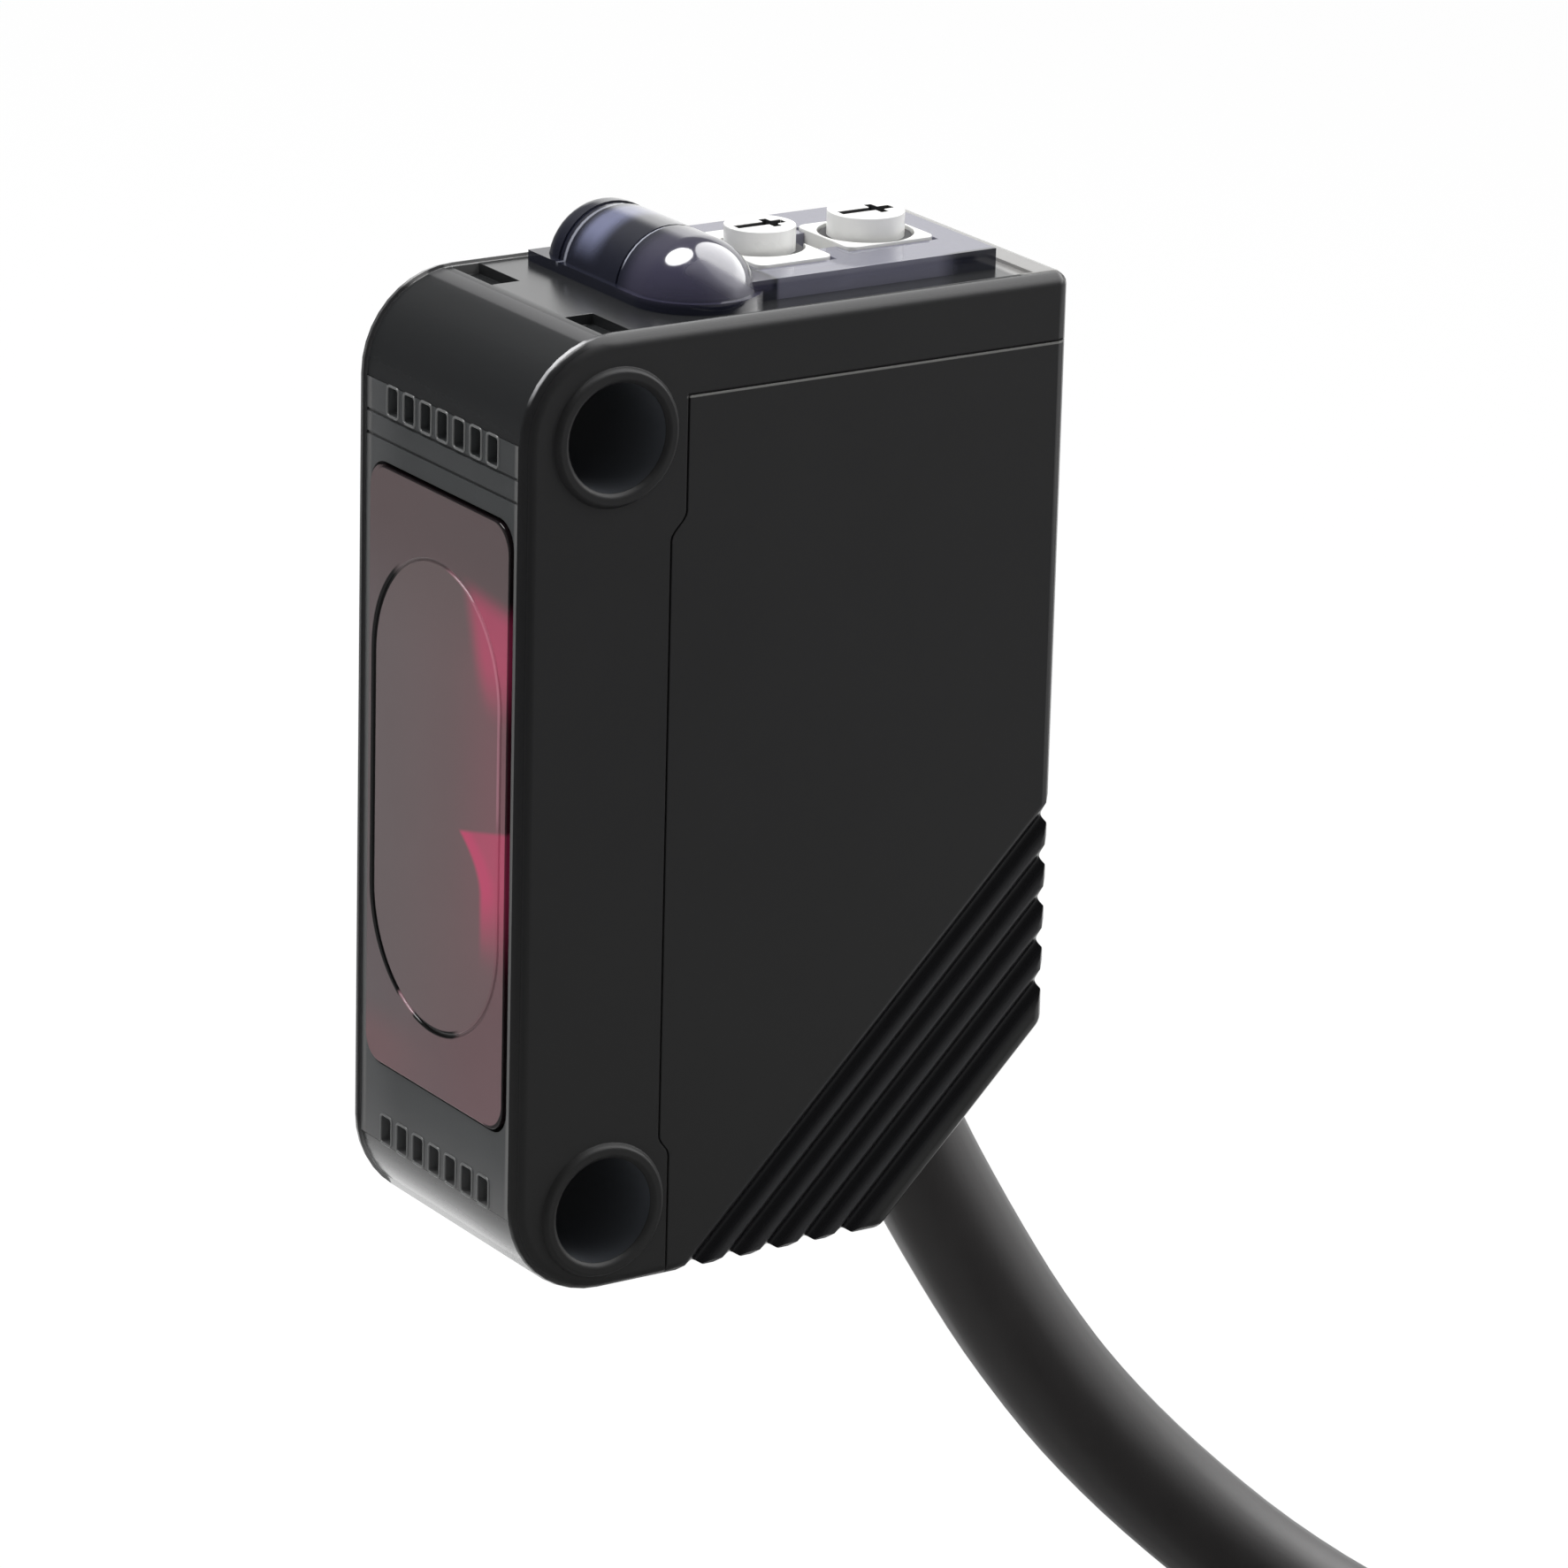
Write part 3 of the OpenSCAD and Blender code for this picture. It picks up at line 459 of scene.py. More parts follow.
def case_painter(paint):
    """Black plastic: satin sides and a glossy deck, with a painted sheen on the upper front, painted highlights on
    the fold in front of the deck, the lips, the rear rim and the joint, a painted reflection on the lower corner, and
    painted light and shade on the ribs.
    """
    place = paint.place()
    x, y, z = paint.split(place)
    slow = paint.noise(place, 0.18, detail=3)
    fine = paint.noise(place, 9, detail=3)
    satin = paint.ramp(abs(x), 5.05, 5.19)
    inner = paint.ramp(abs(x), 4.9, 4.75)
    deck = paint.ramp(z, 15.5, 15.75) * inner
    # painted sheen: the top band of the front, inside the lips, is painted a little lighter and bluer than the black
    upper_front_sheen = inner * paint.ramp(z, 12.5, 12.9)
    # painted highlight: the narrow fold in front of the deck is painted paler where it catches light
    fold_highlight = deck * paint.ramp(y, -1.0, -0.85) * paint.ramp(y, -0.28, -0.4)
    # painted reflection: the rear rim of the deck is painted pale where it mirrors the bright wall behind
    rear_rim_highlight = deck * paint.ramp(y, 15.05, 15.3)
    # painted highlight: a pale line along the top run of the side joint, where its lower edge catches light
    joint_highlight = paint.ramp(abs(z - 13.66), 0.05, 0.02) * paint.ramp(y, 2.5, 2.6) * satin

    across = (z - y) * math.sqrt(0.5) + RIB_START
    crest = (across * (math.pi / RIB_PITCH)).math("SINE") ** 2
    ribs = paint.ramp(across, -0.6, -0.2) * paint.ramp(across, 4.7, 4.3)
    # painted light and shade: rib crests are painted lighter and grooves darker, as light falls across them
    rib_light_and_shade = paint.blend(crest ** 3, tone(18, 18, 20), tone(44, 44, 46))

    off_side = paint.ramp(x, -5.19, -5.12)
    low = paint.ramp(z, -12.2, -15.0) * paint.ramp(y, 2.6, 1.2)
    # the lower front corner: painted grey below as a painted reflection of the bright floor, and given coat
    corner = off_side * low * paint.ramp(x, 4.95, 4.8)
    far_lip = off_side * paint.ramp(x, -4.66, -4.74)
    # painted highlight on the front of the far lip
    far_front_highlight = far_lip * paint.ramp(y, -0.6, -1.4)
    # painted highlight: the far lip's top and lower end are painted pale; the same mask adds coat there
    far_pale = far_lip * paint.ramp(z, 15.3, 15.6).at_least(low)
    # painted highlight: a pale glint along the inner edge of the near lip at its upper front
    near_lip_glint = paint.ramp(abs(x - 4.8), 0.12, 0.04) * paint.ramp(z, 13.9, 14.7) * paint.ramp(y, -0.3, -1.0)

    deck_coat = (deck * paint.ramp(y, -0.5, 0.0)).at_least(far_pale) * 0.65
    corner_coat = corner * (0.8 - 0.45 * paint.ramp(x, 0.5, 4.0))
    black = tone(31, 31, 32)
    return {
        "Base Color": paint.layers(
            paint.blend(slow * 0.7 + fine * 0.3, lighter(black, 0.86), lighter(black, 1.14)),
            (paint.ramp(z, 6.0, -12.0), tone(35, 35, 35)),
            (upper_front_sheen, tone(39, 40, 41)),
            (ribs, rib_light_and_shade),
            (far_front_highlight, tone(62, 62, 63)),
            (far_pale, tone(150, 150, 150)),
            (near_lip_glint, tone(170, 170, 172)),
            (corner, tone(132, 133, 133)),
            (fold_highlight, tone(84, 84, 85)),
            (rear_rim_highlight, tone(150, 149, 147)),
            (joint_highlight, tone(112, 112, 110)),
        ),
        "Roughness": 0.2 + satin * 0.22 + slow * 0.04 + fine * 0.03,
        "Coat Weight": deck_coat.at_least(corner_coat),
        "Normal": paint.bump(fine * (0.3 + satin * 0.7), 0.002),
    }


def bezel_painter(paint):
    """Grey plastic, with painted highlights along its edges and at its left, and a painted reflection towards the
    lower corner.
    """
    place = paint.place()
    x, _, z = paint.split(place)
    slow = paint.noise(place, 0.4)
    fine = paint.noise(place, 8)
    return {
        "Base Color": paint.layers(
            paint.blend(slow, tone(60, 62, 63), tone(68, 70, 71)),
            # painted reflection: paler towards the lower corner, where the face curves down
            (paint.ramp(z, -10.5, -13.6), tone(94, 94, 94)),
            # painted light: paler at the left
            (paint.ramp(x, -2.0, -4.6) * 0.5, tone(92, 93, 94)),
            # painted highlights along the curled edges at both ends
            (paint.ramp(abs(abs(x) - 4.5), 0.16, 0.05), tone(100, 100, 100)),
        ),
        "Roughness": 0.26 + fine * 0.06,
        "Normal": paint.bump(fine, 0.002),
    }


def window_painter(paint):
    """Tinted pane: a painted pink glow of light at two places, the oval line of the lens plate painted as a shadow at
    its left and lower side and a highlight at its right, and a dark rim.
    """
    place = paint.place()
    x, _, z = paint.split(place)
    slow = paint.noise(place, 0.25)
    oval = ((x - LENS_X) ** 2 + (abs(z) - LENS_STRAIGHT).at_least(0.0) ** 2).root()
    low_left = paint.ramp(z, -7.6, -9.2) * paint.ramp(x, 1.0, -3.6)

    beam = x - 1.36 - (7.55 - z) * 0.29
    upper = paint.ramp(beam, -0.15, 1.0) * paint.ramp(z + 0.1 * x, 8.1, 7.1) * paint.ramp(z, 3.2, 5.6)
    beam = x - 2.68 + 0.4 * (z + 2.4).at_least(0.0) ** 2
    lower = (paint.ramp(beam, -0.05, 0.3) * (1 - 0.35 * paint.ramp(beam, 0.4, 1.4))
             * paint.ramp(z - 0.24 * x, -0.86, -1.05) * paint.ramp(z, -5.0, -1.6))
    faint_glow = paint.ramp(x, 0.5, 4.2) * paint.ramp(z, 7.5, 4.5) * paint.ramp(z, -7.0, -1.0) * 0.1
    # painted glow: pink light painted into the colour and the emission at two places, with a faint glow at the right
    painted_glow = (upper * 0.68 + lower + faint_glow).at_most(1.0) * (0.85 + slow * 0.2)

    line = abs(oval - LENS_R) / (0.75 + 0.25 * paint.ramp(abs(z), 7.4, 5.4))
    dark_to = 4.0 * paint.ramp(z, 2.0, -2.0) - 2.6
    # painted glint where the oval line turns pale low at the left
    oval_glint = paint.ramp(abs(x + 1.75), 0.55, 0.35) * paint.ramp(z, -6.8, -7.0)
    # painted shadow along the left and lower side of the oval line
    oval_shadow_line = paint.ramp(line, 0.19, 0.12) * paint.ramp(x - dark_to, 0.3, -0.3) * (1 - oval_glint)
    # painted highlight along its upper right side and at the glint
    oval_highlight_line = paint.ramp(line, 0.1, 0.04) * (paint.ramp(x, 0.3, 0.8) * paint.ramp(z, -0.5, 1.0)).at_least(oval_glint)

    outwards = ((abs(x) - PANE_X).at_least(0.0) ** 2
                + (abs(z - PANE_MIDDLE_Z) - PANE_Z).at_least(0.0) ** 2).root()
    rim = (paint.ramp(outwards, 0.91, 0.96) * paint.ramp(x, 3.0, 3.4).at_least(paint.ramp(z, 9.4, 9.7))
           * paint.ramp(x, -3.9, -3.4))
    return {
        "Base Color": paint.layers(
            paint.blend(paint.ramp(x, -4.0, 3.0), tone(107, 98, 100), tone(115, 90, 94)),
            (paint.ramp(z, 4.0, 9.0), tone(97, 85, 86)),
            (slow * 0.4, tone(96, 82, 84)),
            (paint.ramp(oval, 3.86, 3.78) * 0.35, tone(116, 104, 104)),
            (low_left * 0.5, tone(128, 92, 96)),
            (painted_glow * 0.9, tone(186, 74, 106)),
            (oval_shadow_line, tone(8, 7, 8)),
            (oval_highlight_line * 0.5, tone(186, 132, 146)),
            (rim, tone(22, 16, 18)),
        ),
        "Roughness": 0.1 + paint.noise(place, 7) * 0.05,
        "Emission Color": paint.blend(painted_glow, (0, 0, 0, 1), tone(142, 34, 72)),
        "Normal": paint.bump(slow, 0.01),
    }


def cover_painter(paint):
    """Smoke-blue cover: a paler plate round the adjusters, and a dome with a painted band of light, two painted
    highlight lines on its rings, a dull blunt end and a patch of its round end that holds less gloss."""
    place = paint.place()
    x, y, z = paint.split(place)
    slow = paint.noise(place, 0.6)
    dome = paint.ramp(y, 6.8, 6.6) * paint.ramp(z, 16.0, 16.3)
    plate = paint.ramp(y, 6.8, 7.0) * (1 - paint.ramp(y, 12.8, 13.8) * paint.ramp(x, 3.25, 3.35))
    # painted light: a band of light across the dome's straight part
    painted_light_band = paint.ramp(x, -2.3, -1.8) * paint.ramp(x, -0.5, -1.4) * paint.ramp(z, 16.3, 17.4) * dome
    # painted highlights: thin pale lines where light catches the two rings
    blunt_ring_highlight = paint.ramp(abs(x + 2.5), 0.1, 0.03) * dome
    round_ring_highlight = paint.ramp(abs(x - 0.75), 0.07, 0.03) * paint.ramp(y, 4.6, 4.0) * paint.ramp(z, 16.6, 17.0)
    rise = z + 0.65 * y
    dull = dome * paint.ramp(x, 3.0, 3.35) * paint.ramp(rise, 20.3, 20.0) * paint.ramp(rise, 19.0, 19.6)
    coat = (0.5 + 0.5 * dome * paint.ramp(z, 16.2, 18.0)) * (1 - 0.85 * dull)
    return {
        "Base Color": paint.layers(
            paint.blend(slow, (0.014, 0.016, 0.03, 1), (0.022, 0.024, 0.044, 1)),
            (dome * paint.ramp(x, 0.7, 1.6), (0.07, 0.066, 0.11, 1)),
            (plate, (0.24, 0.24, 0.32, 1)),
            (painted_light_band, (0.26, 0.28, 0.44, 1)),
            ((blunt_ring_highlight * 0.7).at_least(round_ring_highlight), (0.62, 0.64, 0.75, 1)),
        ),
        "Roughness": 0.08 + paint.noise(place, 12) * 0.04 + 0.3 * dull,
        "Coat Weight": coat - 0.4 * dome * paint.ramp(x, -2.6, -3.6),
        "Normal": paint.bump(slow, 0.006),
    }


def board_painter(paint):
    """Green board: tracks in a lighter green over the dark one."""
    place = paint.place()
    weave = paint.noise(place, 5)
    track = paint.ramp(paint.cells(place, 1.3), 0.34, 0.3)
    return {
        "Base Color": paint.blend(track * 0.6, tone(24, 74, 46), tone(52, 120, 74)),
        "Roughness": 0.3 + weave * 0.15,
        "Normal": paint.bump(track * 0.7 + weave * 0.3, 0.02),
    }


case_black = finish("case_black", case_painter, Specular_IOR_Level=0.3, Coat_Roughness=0.2)
# painted light: the bore's black plastic is painted lighter and bluer where the bore lies in shade; it is also
# rougher
bore_black = moulded("bore_black", tone(64, 67, 72), rough=0.6, grain=6, depth=0.004, Specular_IOR_Level=0.3)
bezel_grey = finish("bezel_grey", bezel_painter, Specular_IOR_Level=0.5)
frame_grey = moulded("frame_grey", tone(104, 105, 105), rough=0.3, grain=8, depth=0.002)
# the emission strength lights the painted glow
window_tint = finish("window_tint", window_painter, Specular_IOR_Level=0.5, Emission_Strength=0.35)
cover_smoke = finish("cover_smoke", cover_painter, Transmission_Weight=0.3, IOR=1.52,
                     Coat_IOR=1.75, Coat_Roughness=0.1)
jacket_black = jacket("jacket_black", tone(44, 42, 42), rough=0.42)
wire_brown = jacket("wire_brown", tone(98, 56, 34), rough=0.35)
wire_blue = jacket("wire_blue", tone(34, 82, 168), rough=0.35)
wire_black = jacket("wire_black", tone(28, 28, 30), rough=0.35)
rubber_black = moulded("rubber_black", tone(24, 24, 25), rough=0.62, grain=5, depth=0.006)
adjuster_white = moulded("adjuster_white", tone(246, 246, 243), rough=0.3, grain=5, depth=0.003, mottle=0.03)
rotor_white = moulded("rotor_white", tone(250, 250, 248), rough=0.28, grain=5, depth=0.003, mottle=0.02)
ring_dark = moulded("ring_dark", tone(48, 48, 50), rough=0.5, grain=6, depth=0.004)
holder_black = moulded("holder_black", tone(22, 22, 23), rough=0.6, grain=5, depth=0.005)
lens_rose = moulded("lens_rose", tone(150, 116, 124), rough=0.12, grain=3, depth=0.002, mottle=0.05)
emitter_red = moulded("emitter_red", tone(210, 70, 70), rough=0.15, grain=3, depth=0.002, mottle=0.05)
chip_black = moulded("chip_black", tone(34, 33, 36), rough=0.5, grain=8, depth=0.006)
ceramic_tan = moulded("ceramic_tan", tone(176, 158, 128), rough=0.45, grain=6, depth=0.004)
lamp_orange = moulded("lamp_orange", tone(236, 130, 50), rough=0.2, grain=4, depth=0.002, mottle=0.05)
lamp_green = moulded("lamp_green", tone(80, 200, 110), rough=0.2, grain=4, depth=0.002, mottle=0.05)
board_green = finish("board_green", board_painter)
tin = metal("tin", tone(196, 198, 202), rough=0.25)
gold = metal("gold", tone(214, 178, 96), rough=0.22)


# Cable and its bare end

CABLE_R, WIRE_R = 2, 0.55
ROUTE = [(0, 12.1, -9.456), (0, 13, -11.014), (0, 13.8, -12.4), (0, 14.9, -14.4), (0, 16, -16.4),
         (0, 17.8, -19.4), (0, 19.7, -22.3), (0, 21.9, -25.2), (0, 24.3, -27.9), (0.2, 27, -30.6),
         (0.7, 30, -33.3), (1.5, 33.3, -35.8), (2.7, 37, -38.1), (4.2, 40.8, -40), (6, 44.5, -41.3),
         (8.2, 48.2, -41.9), (10.4, 51.3, -42)]
COIL_MIDDLE = (31, 35)
COIL_OUT, COIL_IN = 26, 14             # radius of the outer and the inner turn
COIL_LAYERS, LAYER_TURNS = 5, 3.0409
COIL_TOP, LAYER_STEP = -46, 4
COIL_FLOOR = COIL_TOP - LAYER_STEP * (COIL_LAYERS - 1)
FALL_SWEEP, STEP_SWEEP, END_SWEEP = 48, 40, 60    # degrees down to the coil, down a layer, and in to the end
END_R = 10.2                           # where the jacket ends, inside the coil
WIRE_Z = -63.42                        # conductors that lie on the floor
SETTLE_SWEEP = 34                      # degrees in which they come down to it
STRAND_SIZES = {"Strand Radius": 0.13, "Strands": 6, "Twist": 9.0}

# A conductor leaves the jacket so far out and up from its middle, and comes down to the floor at the radius lie_r.
# Past the jacket's end its insulation ends at bare_from degrees, and its tip shortly before bare_to.
Wire = namedtuple("Wire", "name finish out up lie_r bare_from bare_to")
WIRES = [Wire("brown", wire_brown, 0.6, -0.35, 11.38, 110, 135),
         Wire("blue", wire_blue, 0, 0.62, 10.2, 122, 150),
         Wire("black", wire_black, -0.6, -0.35, 9.02, 136, 168)]


def around(radius, degrees, height):
    """A point on a circle round the coil's middle."""
    a = math.radians(degrees)
    return (COIL_MIDDLE[0] + radius * math.cos(a), COIL_MIDDLE[1] + radius * math.sin(a), height)


def coil_points():
    """The stored length: flat layers, wound inwards and outwards by turns. Its end's angle comes with it."""
    start = Vector(ROUTE[-1][:2]) - Vector(COIL_MIDDLE)
    angle = math.degrees(math.atan2(start.y, start.x))
    points = []

    def wind(sweep, r0, r1, z0, z1):
        nonlocal angle
        count = max(2, round(sweep / 12))
        for i in range(1, count + 1):
            t = i / count
            drop = (1 - math.cos(math.pi * t)) / 2
            points.append(around(mix(r0, r1, t), angle - sweep * t, mix(z0, z1, drop)))
        angle -= sweep

    wind(FALL_SWEEP, start.length, COIL_OUT, ROUTE[-1][2], COIL_TOP)
    near, far = COIL_OUT, COIL_IN
    for layer in range(COIL_LAYERS):
        z = COIL_TOP - LAYER_STEP * layer
        wind(LAYER_TURNS * 360 - STEP_SWEEP, near, far, z, z)
        if z > COIL_FLOOR:
            wind(STEP_SWEEP, far, far, z, z - LAYER_STEP)
        near, far = far, near
    wind(END_SWEEP, near, END_R, COIL_FLOOR, COIL_FLOOR)
    return points, angle


coil_line, coil_end = coil_points()
cable_line = smooth_line([*ROUTE, *coil_line], steps=3)


def wire_line(wire):
    """A conductor's middle line, from inside the jacket to its place beside the others on the floor."""
    steps, steps_inside, degrees_inside = 32, 2, 4
    points = []
    for i in range(-steps_inside, steps + 1):
        turned = wire.bare_from * i / steps if i > 0 else degrees_inside * i
        settle = min(1, max(0, turned / SETTLE_SWEEP))
        settle = settle * settle * (3 - 2 * settle)
        points.append(around(mix(END_R + wire.out, wire.lie_r, settle), coil_end - turned,
                             mix(COIL_FLOOR + wire.up, WIRE_Z, settle)))
    return points


def tip_lines():
    """The lines of the three bare tips, as edges. Each starts inside its insulation."""
    count, inside, short = 14, 3, 1
    points, edges = [], []
    for wire in WIRES:
        first = len(points)
        start, end = wire.bare_from - inside, wire.bare_to - short
        points += [around(wire.lie_r, coil_end - mix(start, end, i / count), WIRE_Z) for i in range(count)]
        edges += [(first + i, first + i + 1) for i in range(count - 1)]
    mesh = bpy.data.meshes.new("tip_lines")
    mesh.from_pydata(points, edges, [])
    return mesh


def strand_tree(finish_used):
    """A twisted bundle: one core and a ring of strands, swept along the piece's line."""
    nodes, given = started_tree("twisted_strands", STRAND_SIZES)
    line = nodes.add("GeometryNodeMeshToCurve", None, {"Mesh": given})
    share = nodes.add("GeometryNodeSplineParameter")
    line = nodes.add("GeometryNodeSetCurveTilt", None, {"Curve": line, "Tilt": share * given["Twist"]})
    ring = nodes.add("GeometryNodeMeshCircle", None,
                     {"Vertices": given["Strands"], "Radius": given["Strand Radius"] * 2})
    core = nodes.add("GeometryNodeMeshLine", None, {"Count": 1})
    spots = nodes.add("GeometryNodeJoinGeometry")
    for part in (ring, core):
        nodes.tree.links.new(part.socket, spots.socket.node.inputs[0])
    strand = nodes.add("GeometryNodeCurvePrimitiveCircle", None, {"Resolution": 8, "Radius": given["Strand Radius"]})
    cut = nodes.add("GeometryNodeInstanceOnPoints", None, {"Points": spots, "Instance": strand})
    cut = nodes.add("GeometryNodeRealizeInstances", None, {"Geometry": cut})
    swept = nodes.add("GeometryNodeCurveToMesh", None, {"Curve": line, "Profile Curve": cut, "Fill Caps": True})
    return ended_tree(nodes, swept, finish_used)


cable = kept("cable", tube("cable", cable_line, CABLE_R, sides=20), [jacket_black],
             nodes=["cable_sheath", "cable_coil"])
for wire in WIRES:
    wire_tube = tube(wire.name, smooth_line(wire_line(wire), steps=2), WIRE_R, sides=14)
    kept(f"{wire.name}_wire", wire_tube, [wire.finish], nodes=[f"{wire.name}_tail"])
tips = worked(tip_lines(), "NODES", node_group=strand_tree(tin), inputs=STRAND_SIZES)
tips.shade_smooth()
kept("tinned_tip_strands", tips, [tin], nodes=["tinned_tips"])

[tuple(p * MM) for p in cable_line]


# Housing

HOLE_Z = 12.7            # screw holes, above and below the middle
BORE_R, BORE_X = 1.7495, 5.1
RAMP_X = 4.77
RAMP_SIDE = [(-2.31, -14.27), (-1.94, -14.8), (-1.84, -14.87), (-1.64, -14.75), (-2.18, -14.25)]


def in_bore(spot):
    return abs(spot.x) < BORE_X and math.hypot(spot.y, abs(spot.z) - HOLE_Z) < BORE_R


def ramp_mesh():
    """The strip along the case's lower front corner that closes the ledge under the bezel."""
    count = len(RAMP_SIDE)
    return new_mesh("lower_ramp", [(x, y, z) for x in (-RAMP_X, RAMP_X) for y, z in RAMP_SIDE],
                    [tuple(reversed(range(count))), tuple(range(count, 2 * count))]
                    + [(i, (i + 1) % count, (i + 1) % count + count, i + count) for i in range(count)])


recolour(dressed("front_shell", "front_case", [case_black, bore_black]), in_bore)
kept("lower_ramp", ramp_mesh(), [case_black])
dressed("rear_shell", "rear_case", [case_black])
dressed("bezel", "front_bezel", [bezel_grey])
dressed("window_pane", "window", [window_tint], width=EASED_MORE)


# Slot frames of the bezel

SLOT_COUNT, SLOT_PITCH = 7, 1.02
SLOT_Z, SLOT_FACE_Y = 12.18, -3.13
SLOT_SIZES = {"Slot Width": 0.70, "Slot Height": 0.98, "Corner": 0.14, "Wire": 0.045}


def frame_tree(finish_used):
    """A thin raised frame round a slot, at every given point."""
    nodes, given = started_tree("slot_frames", SLOT_SIZES)
    path = nodes.add("GeometryNodeCurvePrimitiveQuadrilateral", None,
                     {"Width": given["Slot Width"], "Height": given["Slot Height"]})
    path = nodes.add("GeometryNodeFilletCurve", {"mode": "POLY"},
                     {"Curve": path, "Radius": given["Corner"], "Count": 5})
    wire = nodes.add("GeometryNodeCurvePrimitiveCircle", None, {"Resolution": 8, "Radius": given["Wire"]})
    ring = nodes.add("GeometryNodeCurveToMesh", None, {"Curve": path, "Profile Curve": wire})
    upright = nodes.add("GeometryNodeTransform", None, {"Geometry": ring, "Rotation": (math.pi / 2, 0, 0)})
    spots = nodes.add("GeometryNodeMeshToPoints", None, {"Mesh": given})
    rings = nodes.add("GeometryNodeInstanceOnPoints", None, {"Points": spots, "Instance": upright})
    return ended_tree(nodes, rings, finish_used)


def slot_spots():
    """The middles of both rows of slots."""
    spots = bpy.data.meshes.new("slot_spots")
    first = -(SLOT_COUNT - 1) / 2
    spots.from_pydata([((first + i) * SLOT_PITCH, SLOT_FACE_Y, z) for z in (SLOT_Z, -SLOT_Z)
                       for i in range(SLOT_COUNT)], [], [])
    return spots


frames = worked(slot_spots(), "NODES", node_group=frame_tree(frame_grey), inputs=SLOT_SIZES)
frames.shade_smooth()
kept("slot_frames", frames, [frame_grey])


# Display cover and adjusters

COVER_SOFT_ANGLE = 40
NOTCH_FROM_Z, NOTCH_TO_Z = 16.8, 17.27    # the dark slot and pointer notch in a dial's top

Adjuster = namedtuple("Adjuster", "name block dial seal y notch_r")
ADJUSTERS = [Adjuster("sensitivity", "sensitivity_trimmer", "sensitivity_adjuster", "sensitivity_ring", 12.4, 1.2),
             Adjuster("mode", "mode_switch", "mode_selector", "mode_ring", 8.4, 0.9)]

kept("smoke_cover", smoothed(cad_shape("display_cover"), COVER_SOFT_ANGLE), [cover_smoke], nodes=["display_cover"])
for adjuster in ADJUSTERS:
    dressed(f"{adjuster.name}_block", adjuster.block, [adjuster_white], width=EASED_MORE)
for adjuster in ADJUSTERS:
    dial = dressed(f"{adjuster.name}_dial", adjuster.dial, [rotor_white, ring_dark], f"{adjuster.name}_rotor",
                   EASED_MORE)
    recolour(dial, lambda spot: (NOTCH_FROM_Z < spot.z < NOTCH_TO_Z
                                 and math.hypot(spot.x, spot.y - adjuster.y) < adjuster.notch_r))
for adjuster in ADJUSTERS:
    dressed(f"{adjuster.name}_seal", adjuster.seal, [ring_dark], f"{adjuster.name}_rotor")


# Parts that keep their CAD shape

CARRIED = {
    "window_seal": rubber_black, "lens_plate": lens_rose, "optics_holder": holder_black,
    "emitter_led": emitter_red, "receiver_chip": chip_black, "receiver_shield": tin,
    "front_board": board_green, "main_board": board_green, "display_board": board_green,
    "board_pins": gold, "control_chip": chip_black, "output_transistor": chip_black,
    "chip_components": ceramic_tan, "operation_led": lamp_orange, "stability_led": lamp_green,
    "display_seal": rubber_black, "cable_grommet": rubber_black, "cable_clamp": tin,
    "brown_lead": wire_brown, "blue_lead": wire_blue, "black_lead": wire_black,
}
for node, made in CARRIED.items():
    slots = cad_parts[node].data.materials
    slots.clear()
    slots.append(made)


# Studio, in metres

FLOOR_Z, FLOOR_HALF = -0.0642, 3
WHITE = (1, 1, 1, 1)
FLOOR_GREY = (0.92, 0.92, 0.92, 1)
BEHIND = (-0.2, 0.968, 0.15)    # towards the wall behind the sensor


def surroundings(nodes, way):
    """What the rays that show the surroundings meet: white, but in mirrors a bright wall behind the sensor and a
    bright floor at its left, and dark elsewhere. The second value is 1 for those rays."""
    ray = nodes.add("ShaderNodeLightPath", output="Is Camera Ray")
    clear = ray.at_least(ray["Is Transmission Ray"])
    back = nodes.vector("DOT_PRODUCT", way, BEHIND, output="Value")
    x, _, z = nodes.split(way)
    wall = nodes.ramp(back, 0.35, 0.65) * nodes.ramp(z, 0.52, 0.36)
    ground = nodes.ramp(z, -0.38, -0.55) * nodes.ramp(x, -0.3, -0.6)
    mirrored = 0.04 + 0.16 * nodes.ramp(back, -0.5, 0.3) + 0.8 * wall.at_least(ground)
    return clear.at_least(mirrored), clear.at_least(ray["Is Glossy Ray"])


def floor_finish():
    made = bpy.data.materials.new("floor_white")
    made.use_nodes = True
    nodes = Nodes(made.node_tree)
    way = nodes.vector("NORMALIZE", nodes.add("ShaderNodeTexCoord", output="Object"))
    level, shown = surroundings(nodes, way)
    matt = nodes.add("ShaderNodeBsdfDiffuse", None, {"Color": FLOOR_GREY})
    plain = nodes.add("ShaderNodeEmission", None, {"Color": WHITE, "Strength": level})
    mixed = nodes.add("ShaderNodeMixShader", None, {0: shown * 0.9, 1: matt, 2: plain})
    nodes.add("ShaderNodeOutputMaterial", None, {"Surface": mixed})
    return made


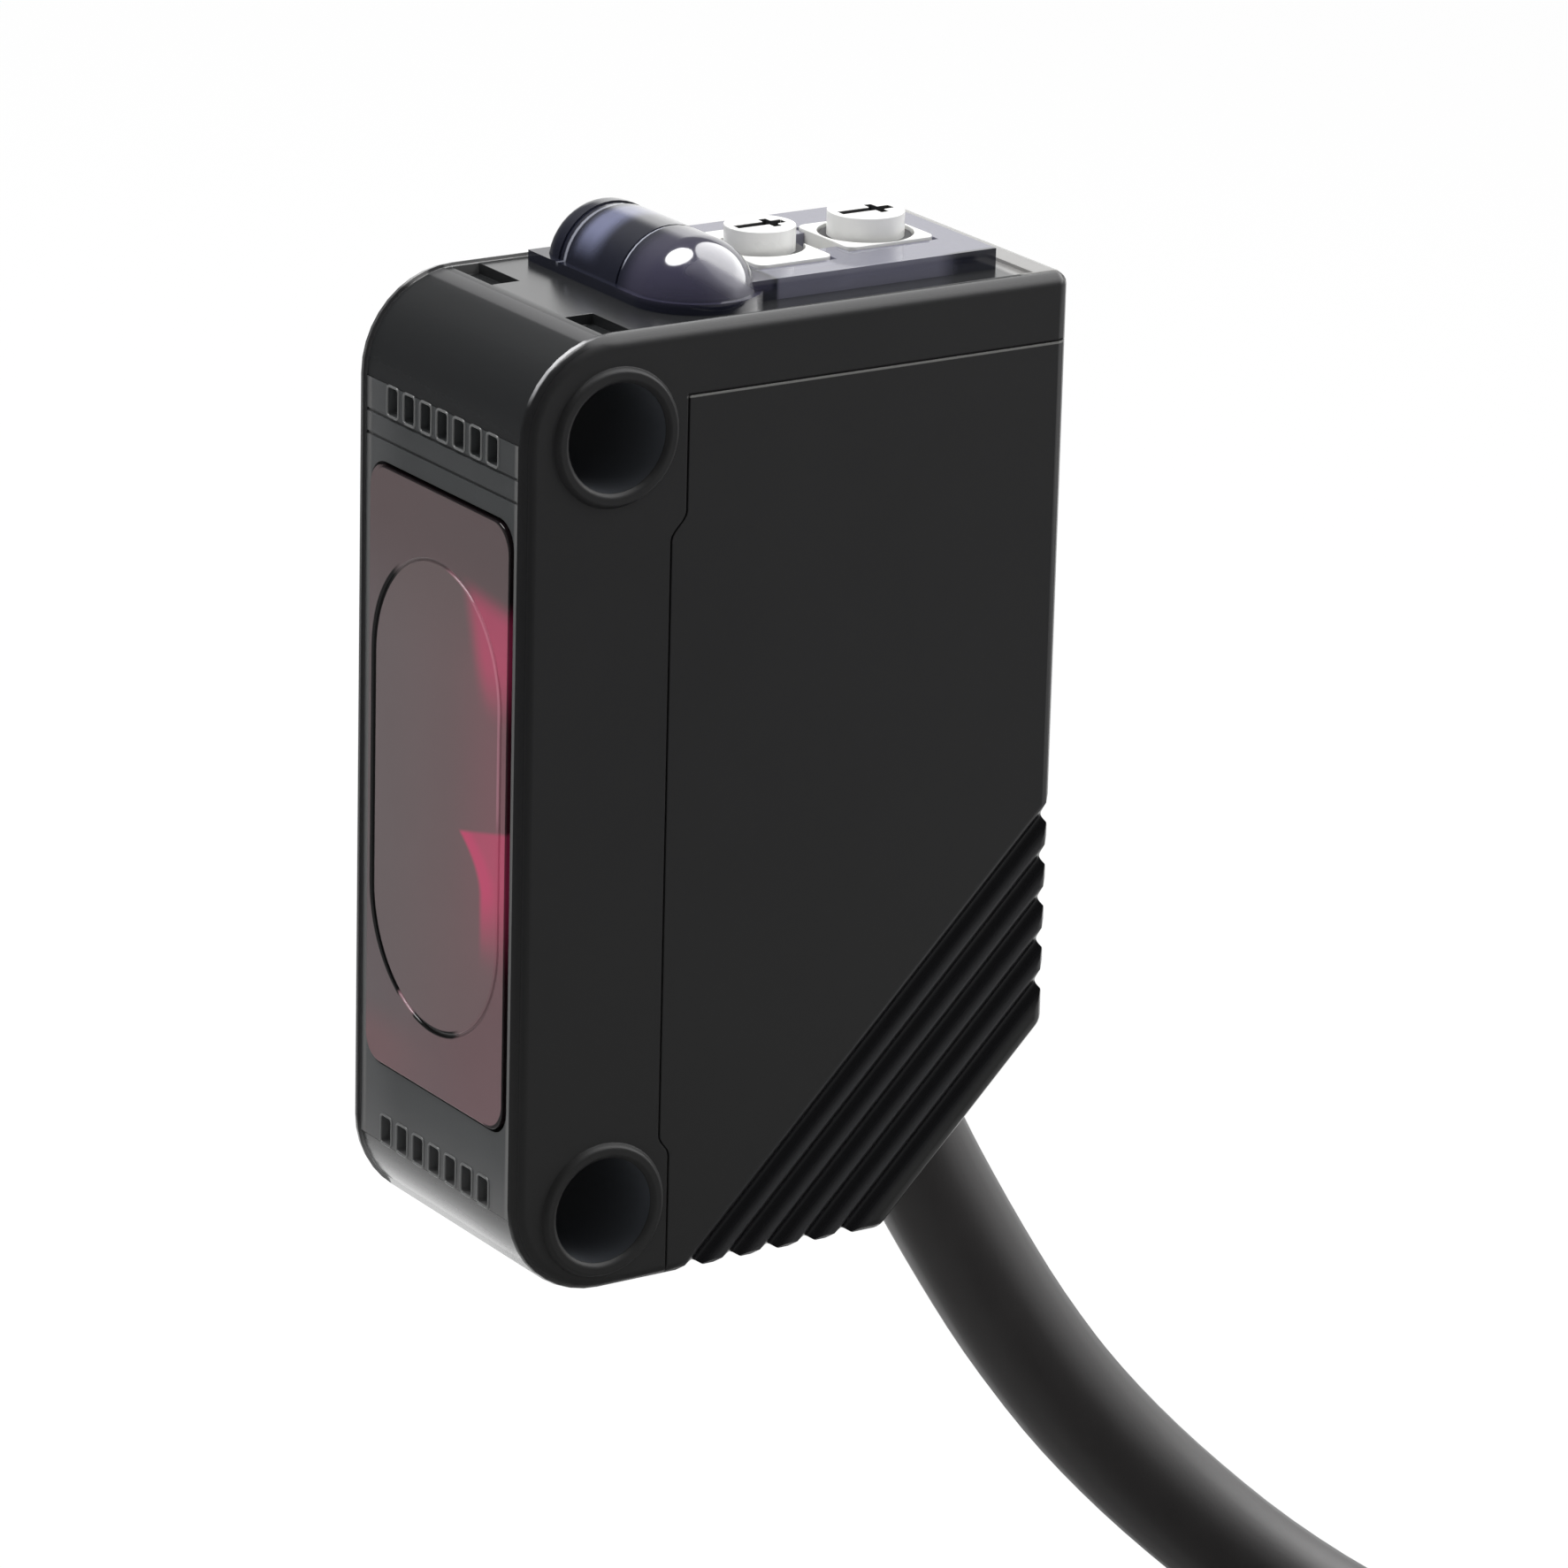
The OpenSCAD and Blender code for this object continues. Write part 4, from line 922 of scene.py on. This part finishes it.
def lay_floor():
    corners = [(-1, -1), (1, -1), (1, 1), (-1, 1)]
    mesh = new_mesh("floor", [(x * FLOOR_HALF, y * FLOOR_HALF, FLOOR_Z) for x, y in corners], [(0, 1, 2, 3)])
    mesh.materials.append(floor_finish())
    floor = bpy.data.objects.new("floor", mesh)
    bpy.context.collection.objects.link(floor)
    floor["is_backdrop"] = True


def light_room():
    world = bpy.data.worlds.new("room")
    bpy.context.scene.world = world
    world.use_nodes = True
    nodes = Nodes(world.node_tree)
    level, shown = surroundings(nodes, nodes.add("ShaderNodeTexCoord", output="Generated"))
    sky = nodes.add("ShaderNodeBackground", None, {"Color": WHITE, "Strength": level * shown + 0.5 * (1 - shown)})
    nodes.add("ShaderNodeOutputWorld", None, {"Surface": sky})


def hang_lamp(name, azimuth, elevation, distance, size, power, matt=True, gloss=True):
    """A soft lamp that faces the sensor. Azimuth 0 is in front of it and 90 at its right. It can be left out of
    what matt or glossy surfaces show."""
    a, e = math.radians(azimuth), math.radians(elevation)
    way = Vector((math.cos(e) * math.sin(a), -math.cos(e) * math.cos(a), math.sin(e)))
    lamp = bpy.data.lights.new(name, "AREA")
    lamp.shape = "DISK"
    lamp.size = size
    lamp.energy = power
    hung = bpy.data.objects.new(name, lamp)
    hung.matrix_world = Matrix.Translation(way * distance) @ way.to_track_quat("Z", "Y").to_matrix().to_4x4()
    hung.visible_diffuse = matt
    hung.visible_glossy = gloss
    bpy.context.collection.objects.link(hung)


lay_floor()
light_room()
hang_lamp("key", azimuth=-56, elevation=69, distance=0.6, size=0.4, power=3.0)
hang_lamp("edge", azimuth=150, elevation=52, distance=0.6, size=0.3, power=0.7, gloss=False)
hang_lamp("spark", azimuth=-56, elevation=69, distance=0.59, size=0.4, power=1.4, matt=False)
hang_lamp("panel", azimuth=171, elevation=46, distance=0.6, size=0.92, power=9.0, matt=False)
bpy.context.scene.view_settings.view_transform = "Standard"


# Sizes

def plain(size):
    return [[float(v) for v in corner] for corner in size]


{"cad": plain(cad_size), "visual": plain(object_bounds())}
